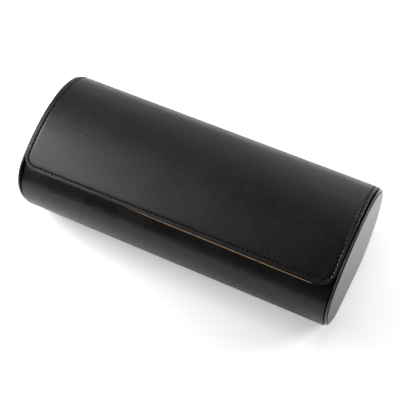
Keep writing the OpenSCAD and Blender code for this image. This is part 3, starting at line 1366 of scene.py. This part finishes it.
        skin = Skin("lid_stitching_thread_and_hole_shade")
        for thread, slot in zip(threads, slots, strict=True):
            skin.add_tube(thread)
            skin.add_tube(slot)
        around = np.stack(np.meshgrid(u, v, indexing="ij"), -1).reshape(-1, 2)
        ends = np.stack([np.repeat([0.0, 1.0], len(v)), np.tile(v, 2)], -1)
        # the slots take u = 0, the thread's near-black end colour: painted shade in the holes
        slot_shade_uv = np.stack([np.zeros(4 * len(v)), np.tile(v, 4)], -1)
        uv = np.tile(np.concatenate([around, ends, slot_shade_uv]), (len(threads), 1))
        self.settle(skin.build(self.finishes[Finish.THREAD], uv), "thread", "lid_stitching")

    def build(self) -> None:
        """Builds and dresses the lid."""
        self.build_leather()
        self.build_lining()
        self.build_stitching()
        self.dress(Finish.BOARD, "greyboard", "lid_stiffener")
        self.dress(Finish.MAGNET, "magnet", "lid_magnets")


# ---------------------------------------------------------------- the hinge


@dataclass(frozen=True)
class LeatherHinge(Assembly):
    """The stretches of leather and of suede that bend between tray and lid."""

    leather: float = 0.9
    suede: float = 0.7
    suede_rise: float = 0.8
    lap: float = 0.2
    dip: float = 0.12
    fold_shares: tuple[float, float] = (0.12, 0.88)
    fold_width: float = 0.07

    @property
    def run(self) -> Run:
        """The section across the hinge, from the tray to the lid."""
        s = self.shape
        return s.cap.run(s.hinge_angle - s.hinge_turn, s.hinge_angle + s.hinge_turn)

    def strip(
        self, name: str, outer: tuple[float, float], thickness: float, material: Material
    ) -> Object:
        """A strip that bends across the hinge, from the tray's depth to the lid's.

        Its depth eases from one to the other with a small dip at each fold.

        Args:
            name: the piece's name.
            outer: depth of its outer face at the tray and at the lid.
            thickness: its thickness.
            material: the finish.

        Returns:
            The new object.
        """
        length = self.run.length
        along = np.linspace(-self.lap, length + self.lap, 25)
        share = np.clip(along / length, 0, 1)
        dips = sum(bell(share - fold, self.fold_width) for fold in self.fold_shares)
        top = outer[0] + (outer[1] - outer[0]) * eased(share) + self.dip * dips
        there = np.stack([along, top], -1)
        outline = np.concatenate([there, (there + [0, thickness])[::-1]])
        return across_run(name, self.run, self.shape.tray_half, outline, material)

    def build(self) -> None:
        """Builds both strips across the joint and hides the pieces they stand for."""
        s = self.shape
        tray, lid = (tuple(float(v) * MM for v in (0, *self.run.points[k])) for k in (0, -1))
        leather = self.strip(
            "hinge_leather_strip", (0.0, -s.lid_stand), self.leather, self.finishes[Finish.LID]
        )
        suede_at = (s.wall - self.suede_rise, s.lid_core - s.lid_stand)
        suede = self.strip("hinge_suede_strip", suede_at, self.suede, self.finishes[Finish.SUEDE])
        for piece, slot, node in (
            (leather, "black_leather", "hinge_leather"),
            (suede, "tan_suede", "hinge_lining"),
        ):
            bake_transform(piece)
            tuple(tray)
            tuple(lid)
            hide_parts(node)
            log.info("%s: %d faces across the hinge", piece.name, len(piece.data.polygons))


# ---------------------------------------------------------------- the tray


@dataclass(frozen=True)
class Tray(Assembly):
    """The tray: leather over board, suede inside, a bound lip at the front."""

    leather: float = 1.0
    lining: float = 0.8
    edge_round: float = 0.7
    edge_flat: float = 2.0
    board_gap: float = 0.1
    recess_lap: float = 0.6
    recess_skin: float = 0.08
    recess_gap: float = 0.01
    binding: float = 0.8
    binding_hug: float = 0.05
    binding_reach: float = 7.0

    @property
    def run(self) -> Run:
        """The tray's section, from the front lip, under the base and up to the hinge."""
        s = self.shape
        return s.tray.run(s.lip_angle, 360 + s.hinge_angle - s.hinge_turn)

    def build_leather(self) -> None:
        """The leather, rounded over its ends by quarter circles."""
        h, r = self.shape.tray_half, self.edge_round
        across = np.linspace(self.edge_flat - h, h - self.edge_flat, 60)
        turn = np.radians(np.linspace(0, 90, 7))
        left = np.stack([-h + r * (1 - np.sin(turn)), r * (1 - np.cos(turn))], -1)[::-1]
        face = np.stack([across, 0 * across], -1)
        back = across[::6][::-1]
        inner = np.stack([back, np.full(back.shape, self.leather)], -1)
        first, last = [[-h, self.leather]], [[h, self.leather]]
        loop = np.concatenate([first, left, face, (left * [-1, 1])[::-1], last, inner])
        piece = swept("tray_leather_skin", self.run, loop, self.finishes[Finish.TRAY])
        self.settle(piece, "black_leather", "body_leather")

    def build_layers(self) -> None:
        """The suede lining, the board, and the leather that closes the gaps at both ends."""
        s = self.shape
        h, edge, out = s.tray_half, s.cap_inner, self.leather
        deep, shallow, gap = s.wall, s.wall - self.lining, self.board_gap
        across = np.linspace(-edge, edge, 40)
        near, far = (np.stack([across, np.full(40, depth)], -1) for depth in (shallow, deep))
        suede = np.concatenate([near, far[::-1]])
        board = oblong(-h, h, out, shallow - gap)
        layers = [
            ("tray_lining_suede", suede, Finish.SUEDE, "tan_suede", ["body_lining"]),
            ("tray_board_core", board, Finish.BOARD, "greyboard", ["body_board"]),
        ]
        low, thin = shallow - self.recess_gap, self.recess_skin
        floor = oblong(h - self.recess_lap, edge + gap, shallow - thin, low)
        fold = oblong(h, h + thin, out - gap, low)
        for side in (-1, 1):
            for label, outline in (("floor", floor), ("fold", fold)):
                name = f"recess_{label}_leather_{PLACES[side]}"
                layers.append((name, outline * [side, 1], Finish.BINDING, "black_leather", []))
        for name, outline, finish, slot, nodes in layers:
            piece = swept(name, self.run, outline, self.finishes[finish], step=2.0)
            self.settle(piece, slot, *nodes)

    def build_lip(self) -> None:
        """The binding: leather folded over the front lip, which stands a little proud of it."""
        s = self.shape
        hug, reach, nose, wall = self.binding_hug, self.binding_reach, self.binding, s.wall
        corners = np.array([
            [2.4, -hug], [-nose, -hug], [-nose, wall + hug], [reach, wall + 0.35],
            [reach, wall - 0.1], [0.3, wall - 0.1], [0.3, 0.4], [2.4, 0.1],
        ])
        outline = rounded(corners, [0.05, 1.2, 1.2, 0.15, 0.05, 0.1, 0.1, 0.05], 7)
        # the stretch starts 4 degrees before the lip, so that far in millimetres is its zero
        before = 4
        run = s.tray.run(s.lip_angle - before, s.lip_angle + 12)
        radius = next(a.radius for a in s.tray.arcs if a.first <= s.lip_angle < a.last)
        outline = outline + [math.radians(before) * radius, 0]
        material = self.finishes[Finish.BINDING]
        piece = across_run("lip_binding_leather", run, s.tray_half, outline, material)
        self.settle(piece, "black_leather", "lip_binding")

    def build(self) -> None:
        """Builds and dresses the tray."""
        self.build_leather()
        self.build_layers()
        self.build_lip()
        self.dress(Finish.KEEPER, "steel", "keeper_discs")


@dataclass(frozen=True)
class EndCap(Assembly):
    """An end cap: board, a leather rim turned round it, a panel outside and suede inside.

    Places along the case are measured from its middle. The rim's band starts a little further
    out at the right end than at the left.
    """

    side: int
    rim_in: tuple[float, float] = (117.8, 118.3)
    rim_out: float = 119.2
    rim_width: float = 1.5
    rim_crown: float = 0.14
    panel_gap: float = 0.5
    groove_floor: float = 118.7
    painted: float = 119.55
    shoulder: tuple[float, float] = (0.4, 0.8)
    pillow: float = 8.0
    turned: float = 5.0
    painted_lap: float = 0.1
    painted_turn: float = 0.6

    @property
    def name(self) -> str:
        """Which end it is."""
        return PLACES[self.side]

    @property
    def run(self) -> Run:
        """The whole section, with the flat of the base sampled as well.

        Returns:
            The stretch from the back edge of the base round to the same place.
        """
        whole = self.shape.cap.run(-90, 270)
        close = np.linspace(whole.points[-1], whole.points[0], 40)[1:]
        points = np.concatenate([whole.points, close])
        normals = np.concatenate([whole.normals, np.repeat(whole.normals[-1:], len(close), 0)])
        stride = np.linalg.norm(np.diff(points, axis=0), axis=1)
        return Run(points, normals, np.concatenate([[0], np.cumsum(stride)]))

    def rim_profile(self) -> Array:
        """Cross-section of the rim: a band round the case with soft edges, and its face.

        The band is crowned: it sinks from its middle towards both edges with the square of the
        distance.

        Returns:
            Closed loop of (x, depth) for the right end.
        """
        inner, out, w = self.rim_in[self.side > 0], self.rim_out, self.rim_width
        low, crown = self.groove_floor, self.rim_crown
        share = np.linspace(-1, 1, 9)[1:-1]
        band = np.stack([(inner + out) / 2 + share * (out - inner) / 2, crown * share**2], -1)
        corners = np.array([
            [inner, self.turned], [inner, crown], *band, [out, crown], [out, w],
            [low, w + 0.05], [low, w + 1], [inner + 0.3, w + 1], [inner + 0.3, self.turned],
        ])
        cuts = [0.05, 0.08, *[0.03] * len(band), 0.08, 0.2, 0.02, 0.05, 0.05, 0.05]
        return rounded(corners, cuts)

    def sheath(self, name: str, x: Array, depth: Array, material: Material) -> Object:
        """A closed piece over the whole end: rings at the given places, capped at both ends.

        Args:
            name: the piece's name.
            x: place of each ring along the case.
            depth: depth of each ring below the case's surface.
            material: the finish.

        Returns:
            The new object.
        """
        along = np.linspace(0, self.run.length, 241)
        rings = self.run.wrap(self.side * x[:, None], along[None], depth[:, None])[:, :-1]
        return tube(name, rings, material)

    def build(self) -> None:
        """Builds and dresses the cap."""
        loop = self.rim_profile() * [self.side, 1]
        rim = swept(
            f"end_rim_leather_{self.name}", self.run, loop, self.finishes[Finish.RIM_LIT], capped=False
        )
        self.settle(rim, "rim_leather", f"end_rim_{self.name}")

        edge = self.rim_width + self.panel_gap
        rise, reach = self.shoulder
        share = np.linspace(0, 1, 24) ** 2
        shoulder = rise * quarter(share * self.pillow / reach)
        crown = (self.shape.length / 2 - self.painted - rise) * (1 - (1 - share) ** 2)
        panel = self.sheath(
            f"end_panel_leather_{self.name}", self.painted + shoulder + crown,
            edge + self.pillow * share, self.finishes[Finish.PANEL],
        )
        self.settle(panel, "black_leather", f"end_panel_{self.name}")

        # a near-black sheet over the groove floor and the panel's edge: painted shade in the groove
        lap = self.painted_lap
        wall = np.array([self.groove_floor - lap, self.painted, self.painted + lap])
        painted = self.sheath(
            f"end_panel_groove_shade_{self.name}", wall, edge + np.array([0.0, 0.0, self.painted_turn]),
            self.finishes[Finish.GROOVE_SHADE],
        )
        self.settle(painted, "black_leather")
        self.dress(Finish.BOARD, "greyboard", f"end_board_{self.name}")
        self.dress(Finish.SUEDE, "tan_suede", f"end_lining_{self.name}")


# ---------------------------------------------------------------- the inside


@dataclass(frozen=True)
class Bays(Assembly):
    """Dividers and foam beds covered in suede, which hold three cushions apart."""

    divider_top: float = 58.5
    divider_round: float = 1.0
    bed_top: float = 25.9
    bed_round: float = 1.2
    hollow_low: float = 8.6
    hollow_half: float = 29.3
    hollow_radius: float = 20.3
    shoulder_rise: float = 0.3
    cushion_offset: float = 2.0
    wall_gap: float = 0.02
    clearance: float = 0.3

    def floor_line(self, top: float) -> Array:
        """The tray's inner wall from the front, under the base, to the back, up to a height.

        Args:
            top: the height where both ends stop.

        Returns:
            Points (y, z).
        """
        s = self.shape
        run = s.tray.run(s.lip_angle, 360 + s.hinge_angle, 1.5)
        wall = run.points - (s.wall + self.wall_gap) * run.normals
        below = np.flatnonzero(wall[:, 1] < top)
        ends = [
            [[np.interp(top, wall[pair, 1], wall[pair, 0]), top]]
            for pair in ([below[0], below[0] - 1], [below[-1], below[-1] + 1])
        ]
        return np.concatenate([ends[0], wall[below], ends[1]])

    def build_divider(self, side: int) -> None:
        """A divider: suede over board with soft edges.

        Args:
            side: -1 or 1.
        """
        s = self.shape
        name = PLACES[side]
        wall = self.floor_line(self.divider_top)
        outline = np.concatenate([wall, np.linspace(wall[-1], wall[0], 60)[1:-1]])
        middle, half = side * s.bay_pitch / 2, s.divider / 2
        stations = soft_ends(middle - half, middle + half, self.divider_round)
        suede = self.finishes[Finish.SUEDE]
        piece = along_x(f"divider_suede_{name}_cover", outline, stations, suede)
        self.settle(piece, "tan_suede", f"divider_suede_{name}")
        self.dress(Finish.BOARD, "greyboard", f"divider_board_{name}")

    def build_bed(self, place: int) -> None:
        """A bed: foam under suede, with rounded shoulders and a hollow for its cushion.

        The top's height is the hollow's round or the shoulder, whichever is lower there, eased
        by averaging it over a few millimetres.

        Args:
            place: -1, 0 or 1.
        """
        s = self.shape
        name, radius = PLACES[place], self.hollow_radius
        wall = self.floor_line(self.bed_top)
        y = np.linspace(wall[-1, 0], wall[0, 0], 161)[1:-1]
        away = np.abs(y - self.cushion_offset) - (self.hollow_half - radius)
        hollow = self.hollow_low + radius - np.sqrt(radius**2 - np.clip(away, 0, radius) ** 2)
        height = np.minimum(hollow, self.bed_top)
        spread = np.hanning(9)
        mean = np.convolve(np.pad(height, 4, "edge"), spread / spread.sum(), "valid")
        height = np.minimum(mean, height + self.shoulder_rise)
        outline = np.concatenate([wall, np.stack([y, height], -1)])
        middle = place * s.bay_pitch
        half = (s.bay_pitch - s.divider) / 2 - self.clearance
        stations = soft_ends(middle - half, middle + half, self.bed_round)
        piece = along_x(f"bed_suede_{name}", outline, stations, self.finishes[Finish.SUEDE])
        self.settle(piece, "tan_suede", f"bed_{name}")

    def build(self) -> None:
        """Builds dividers and beds."""
        for side in (-1, 1):
            self.build_divider(side)
        for place in (-1, 0, 1):
            self.build_bed(place)


@dataclass(frozen=True)
class WatchCushions(Assembly):
    """Three watch cushions: foam in suede, puffed by a cloth run, with piped ends.

    The block that the cloth run starts from is a little smaller than the cushion's space: by
    shrink all round and by end_pull at both ends. The foam is smaller still.
    """

    length: float = 68.7
    depth: float = 58.0
    height: float = 50.6
    radius: float = 20.0
    offset: float = 2.0
    low: float = 8.9
    shrink: float = 1.8
    end_pull: float = 2.6
    end_round: float = 5.0
    foam_inset: float = 4.5
    foam_ends: float = 6.0
    foam_round: float = 3.0
    # the cloth run: size of the remesh, pressure, furthest move and number of frames
    voxel: float = 2.2
    pressure: float = 4.0
    cap: float = 2.4
    frames: int = 20
    # the end seams: their place, how far they draw the suede in, over what width
    seam_in: float = 3.2
    pull: float = 0.9
    pull_width: float = 1.1
    gather: float = 0.28
    gather_width: float = 7.0
    gathers: int = 34
    gather_drift: float = 1.7
    drift_waves: int = 5
    seam_gap: float = 0.02
    # the piping: its radius, the share of it that is sunk, and where its rays start from
    piping: float = 0.8
    piping_sink: float = 0.35
    piping_inset: float = 2.5
    ray_start: float = 20.0

    @property
    def middle(self) -> Array:
        """The cushion's middle (y, z)."""
        return np.array([self.offset, self.low + self.height / 2])

    @property
    def core(self) -> Array:
        """Half the rounded rectangle's flats (y, z): the corners' centres."""
        return np.array([self.depth / 2 - self.radius, self.height / 2 - self.radius])

    def outline(self, margin: float, count: int = 96) -> Array:
        """The cushion's rounded rectangle in Y and Z, grown by a margin.

        Args:
            margin: how far out.
            count: number of points.

        Returns:
            Points (y, z).
        """
        facing = unit(np.linspace(0, 360, count, endpoint=False) + 180 / count)
        return self.middle + np.sign(facing) * self.core + (self.radius + margin) * facing

    def puff(self, piece: Object) -> None:
        """Remeshes the block evenly and lets cloth pressure swell it, with a cap on the move.

        Args:
            piece: the block.
        """
        piece.modifiers.new("even", "REMESH").voxel_size = self.voxel * MM
        self.apply(piece)
        rest = self.coordinates(piece)
        cloth = piece.modifiers.new("cloth", "CLOTH")
        cloth.settings.use_pressure = True
        cloth.settings.uniform_pressure_force = self.pressure
        cloth.settings.effector_weights.gravity = 0.0
        scene = bpy.context.scene
        for step in range(1, self.frames + 1):
            scene.frame_set(step)
        self.apply(piece)
        scene.frame_set(1)
        moved = self.coordinates(piece) - rest
        size = np.linalg.norm(moved, axis=1, keepdims=True)
        rest = rest + moved * np.minimum(1, self.cap * MM / np.maximum(size, 1e-9))
        piece.data.vertices.foreach_set("co", rest.astype(np.float32).ravel())
        fine = piece.modifiers.new("fine", "SUBSURF")
        fine.levels = fine.render_levels = 1
        self.apply(piece)

    @staticmethod
    def apply(piece: Object) -> None:
        """Applies all modifiers of a piece.

        Args:
            piece: the piece.
        """
        graph = bpy.context.evaluated_depsgraph_get()
        done = bpy.data.meshes.new_from_object(piece.evaluated_get(graph))
        piece.modifiers.clear()
        piece.data = done

    @staticmethod
    def coordinates(piece: Object) -> Array:
        """Vertex coordinates of a piece.

        Args:
            piece: the piece.

        Returns:
            n x 3, in metres.
        """
        co = np.empty(len(piece.data.vertices) * 3, np.float32)
        piece.data.vertices.foreach_get("co", co)
        return co.reshape(-1, 3).astype(float)

    def shape_seams(self, piece: Object) -> None:
        """Pulls the suede in at both end seams and gathers it there, inside its space.

        Points near a seam's plane move in towards the cushion's axis by a bell curve, and a sine
        of the angle round the axis makes the gathers. Then each point is kept in the space.

        Args:
            piece: the puffed block, in the middle bay.
        """
        co = self.coordinates(piece) / MM
        spoke = co[:, 1:] - self.middle
        angle = np.arctan2(spoke[:, 1], spoke[:, 0])
        near = self.length / 2 - self.seam_in - np.abs(co[:, 0])
        drift = self.gather_drift * np.sin(self.drift_waves * angle)
        waves = np.sin(self.gathers * angle + drift)
        gather = self.gather * bell(np.clip(near, 0, None), self.gather_width) * waves
        draw = (self.pull * bell(near, self.pull_width) + gather)[:, None]
        co[:, 1:] -= draw * spoke / np.linalg.norm(spoke, axis=1, keepdims=True)

        rest = co[:, 1:] - self.middle
        corner = np.clip(rest, -self.core, self.core)
        away = rest - corner
        reach = np.maximum(np.linalg.norm(away, axis=1, keepdims=True), 1e-9)
        kept = np.minimum(1, (self.radius - self.seam_gap) / reach)
        co[:, 1:] = self.middle + corner + away * kept
        co[:, 0] = np.clip(co[:, 0], -self.length / 2, self.length / 2)
        piece.data.vertices.foreach_set("co", (co * MM).astype(np.float32).ravel())
        piece.data.polygons.foreach_set("use_smooth", np.ones(len(piece.data.polygons), bool))

    def piping_at(self, piece: Object, side: int) -> Object:
        """A piped seam round an end, laid on the puffed surface.

        Its middle line is where rays from outside, aimed at the cushion's axis, meet the
        surface, sunk by a share of the piping's radius.

        Args:
            piece: the puffed block.
            side: -1 or 1.

        Returns:
            The piping, in the middle bay.
        """
        tree = BVHTree.FromObject(piece, bpy.context.evaluated_depsgraph_get())
        x = side * (self.length / 2 - self.seam_in)
        path = []
        for y, z in self.outline(-self.piping_inset, 120):
            spot = Vector((x, y, z)) * MM
            outward = Vector((0, y - self.middle[0], z - self.middle[1])).normalized()
            hit = tree.ray_cast(spot + outward * self.ray_start * MM, -outward)[0]
            path.append(np.array(hit or spot) / MM)
        path = np.array(path)
        spoke = path[:, 1:] - self.middle
        spoke /= np.linalg.norm(spoke, axis=1, keepdims=True)
        outward = np.concatenate([np.zeros((len(path), 1)), spoke], 1)[:, None]
        along = np.cos(EIGHT_TURNS)[:, None] * np.array([1.0, 0, 0])
        round_it = along + np.sin(EIGHT_TURNS)[:, None] * outward
        rings = path[:, None] + self.piping * (round_it - self.piping_sink * outward)
        rings = np.concatenate([rings, rings[:1]])
        return tube("cushion_piping", rings, self.finishes[Finish.PIPING], capped=False)

    def build(self) -> None:
        """Builds one cushion, its foam and its piping, and sets a copy in each bay."""
        half = self.length / 2
        ends = soft_ends(self.end_pull - half, half - self.end_pull, self.end_round, 7)
        outline, suede = self.outline(-self.shrink), self.finishes[Finish.SUEDE]
        block = along_x("cushion_block", outline, ends, suede)
        bpy.context.view_layer.update()
        self.puff(block)
        self.shape_seams(block)
        bpy.context.view_layer.update()
        pipes = [self.piping_at(block, side) for side in (-1, 1)]
        ends = soft_ends(self.foam_ends - half, half - self.foam_ends, self.foam_round)
        outline, foam = self.outline(-self.foam_inset), self.finishes[Finish.FOAM]
        core = along_x("foam_block", outline, ends, foam)
        for place, name in PLACES.items():
            shift = Matrix.Translation((place * self.shape.bay_pitch * MM, 0, 0))
            covered = (f"cushion_suede_{name}", f"cushion_ends_{name}")
            for source, label, slot, nodes in (
                (block, f"cushion_cover_{name}", "tan_suede", covered),
                (core, f"cushion_core_{name}", "foam", (f"cushion_foam_{name}",)),
                (pipes[0], f"cushion_piping_{name}_a", "tan_suede", ()),
                (pipes[1], f"cushion_piping_{name}_b", "tan_suede", ()),
            ):
                mesh = source.data.copy()
                mesh.transform(shift)
                mesh.name = label
                piece = set_down(label, mesh)
                self.settle(piece, slot, *nodes, body=f"cushion_{name}")
        for used in (block, core, *pipes):
            bpy.data.objects.remove(used)


# ---------------------------------------------------------------- the studio


@dataclass(frozen=True)
class WhitePaper(Coating):
    """Matt white paper that glows a little, as paper lit evenly does.

    For the camera alone it is filled up to white away from the case: the fill grows with the
    square root of the distance from the case's footprint. In reflections it glows less in front
    of the case, as a sheet does that turns away from the lights.
    """

    white: str = "#f4f4f4"
    glow: float = 0.4235
    front_glow: float = 0.15
    fill: float = 0.82
    footprint: tuple[float, float, float] = (120.0, 52.0, 1.0)

    def shade(self, tree: NodeTree, place: NodeSocket) -> Node:
        """The distance from the footprint for the camera, and the fall towards the front.

        Args:
            tree: the node tree.
            place: where the pattern is laid.

        Returns:
            The shader.
        """
        apart = add_node(tree, "ShaderNodeVectorMath", {"operation": "ABSOLUTE"}, _0=place)
        size = tuple(v * MM for v in self.footprint)
        beyond = add_node(
            tree, "ShaderNodeVectorMath", {"operation": "SUBTRACT"}, _0=apart, _1=size
        )
        outside = add_node(
            tree, "ShaderNodeVectorMath", {"operation": "MAXIMUM"}, _0=beyond, _1=(0.0, 0.0, 0.0)
        )
        away = add_node(tree, "ShaderNodeVectorMath", {"operation": "LENGTH"}, _0=outside)
        root = add_node(tree, "ShaderNodeMath", {"operation": "SQRT"}, _0=away.outputs["Value"])
        seen = add_node(tree, "ShaderNodeLightPath").outputs["Is Camera Ray"]
        fill = add_node(tree, "ShaderNodeMath", {"operation": "MULTIPLY"}, _0=root, _1=seen)
        y = add_node(tree, "ShaderNodeSeparateXYZ", Vector=place).outputs["Y"]
        front = add_node(
            tree, "ShaderNodeMapRange", Value=y, From_Min=-size[1], From_Max=size[1],
            To_Min=self.front_glow, To_Max=1.0,
        )
        share = add_node(tree, "ShaderNodeMath", {"operation": "MAXIMUM"}, _0=front, _1=seen)
        even = add_node(tree, "ShaderNodeMath", {"operation": "MULTIPLY"}, _0=share, _1=self.glow)
        glow = add_node(
            tree, "ShaderNodeMath", {"operation": "MULTIPLY_ADD"}, _0=fill, _1=self.fill, _2=even
        )
        return add_node(
            tree, "ShaderNodeBsdfPrincipled", Base_Color=linear(self.white), Roughness=0.9,
            Specular_IOR_Level=0.1, Emission_Color=WHITE, Emission_Strength=glow,
        )


@dataclass(frozen=True)
class Softbox:
    """A round soft light that faces the case: its place and width in mm, and its power in W."""

    place: tuple[float, float, float]
    width: float
    power: float

    def hang(self, aim: Vector) -> None:
        """Puts the light into the scene, out of the camera's sight.

        Args:
            aim: the point that it faces.
        """
        data = bpy.data.lights.new("softbox", "AREA")
        data.shape = "DISK"
        data.size = self.width * MM
        data.energy = self.power
        light = set_down("softbox", data)
        light.location = Vector(self.place) * MM
        light.rotation_euler = (aim - light.location).to_track_quat("-Z", "Y").to_euler()
        light.visible_camera = False


@dataclass(frozen=True)
class Studio:
    """A plain white floor, soft boxes close to the case and the camera."""

    azimuth: float = 26.18
    elevation: float = 54.0
    focal_px: float = 1055.0
    frame_px: float = 400.0
    sensor: float = 36.0
    distance: float = 790.0
    shift_right: float = 0.56
    shift_up: float = 21.28
    room_light: float = 0.022
    backdrop: float = 1.0
    floor_half: float = 6000.0
    floor_drop: float = 0.2
    floor_finish: Coating = WhitePaper("white paper sweep")
    aim: tuple[float, float, float] = (0.0, 0.0, 50.0)
    softboxes: tuple[Softbox, ...] = (
        Softbox((-400, 0, 750), 350, 0.15),
        Softbox((-400, 400, 750), 350, 0.1),
        Softbox((-400, 800, 750), 350, 0.191),
        Softbox((0, 400, 750), 350, 0.14),
        Softbox((0, 800, 750), 350, 0.598),
        Softbox((520, 300, 250), 250, 2.3),
        Softbox((0, 600, 250), 250, 0.216),
        Softbox((-300, 520, 250), 250, 0.134),
        Softbox((-386, -104, 350), 200, 1.4),
        Softbox((-283, -283, 350), 200, 0.378),
        Softbox((-600, 40, 130), 150, 2.4),
    )

    def build_camera(self) -> None:
        """Sets the camera: it looks along the view's back direction, moved right and up."""
        a, e = math.radians(self.azimuth), math.radians(self.elevation)
        back = Vector((math.sin(a) * math.cos(e), -math.cos(a) * math.cos(e), math.sin(e)))
        right = Vector((math.cos(a), math.sin(a), 0))
        up = back.cross(right)
        data = bpy.data.cameras.new("camera")
        data.sensor_width = self.sensor
        data.lens = self.focal_px / self.frame_px * self.sensor
        data.clip_start, data.clip_end = 0.01, 20.0
        turn = Matrix((right, up, back)).transposed().to_4x4()
        spot = (back * self.distance + right * self.shift_right + up * self.shift_up) * MM
        camera = set_down("camera", data)
        camera.matrix_world = Matrix.Translation(spot) @ turn
        bpy.context.scene.camera = camera

    def build_floor(self) -> None:
        """A large sheet of paper just below the case."""
        far = self.floor_half * MM
        mesh = bpy.data.meshes.new("floor")
        corners = [(-far, -far, 0), (far, -far, 0), (far, far, 0), (-far, far, 0)]
        mesh.from_pydata(corners, [], [(0, 1, 2, 3)])
        mesh.materials.append(self.floor_finish.make())
        floor = set_down("floor", mesh)
        floor.location.z = -self.floor_drop * MM
        floor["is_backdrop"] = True

    def build_light(self) -> None:
        """The soft boxes, and a dim room that the camera sees as a white backdrop."""
        world = bpy.data.worlds.new("studio")
        bpy.context.scene.world = world
        world.use_nodes = True
        tree = world.node_tree
        tree.nodes.clear()
        seen = add_node(tree, "ShaderNodeLightPath").outputs["Is Camera Ray"]
        light = add_node(
            tree, "ShaderNodeMapRange", Value=seen, To_Min=self.room_light, To_Max=self.backdrop
        )
        background = add_node(tree, "ShaderNodeBackground", Color=WHITE, Strength=light)
        add_node(tree, "ShaderNodeOutputWorld", Surface=background)
        for softbox in self.softboxes:
            softbox.hang(Vector(self.aim) * MM)
        bpy.context.scene.view_settings.view_transform = "Standard"

    def build(self) -> None:
        """Builds camera, floor and light."""
        self.build_camera()
        self.build_floor()
        self.build_light()


def write_sizes() -> None:
    """Logs the construction's box and the dressed model's box side by side."""
    boxes = {"cad": CAD_BOX, "visual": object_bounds()}
    plain = {name: [[float(v) for v in corner] for corner in box] for name, box in boxes.items()}
    log.info("boxes: %s", plain)


def main() -> None:
    """Builds the studio and each sub-assembly in order."""
    logging.basicConfig(level=logging.INFO, format="%(name)s: %(message)s", force=True)
    shared = (CaseShape(), Finishes())
    Studio().build()
    Tray(*shared).build()
    for side in (-1, 1):
        EndCap(*shared, side).build()
    for assembly in (Bays, WatchCushions, LeatherHinge, Lid):
        assembly(*shared).build()
    write_sizes()


if __name__ == "__main__":
    main()
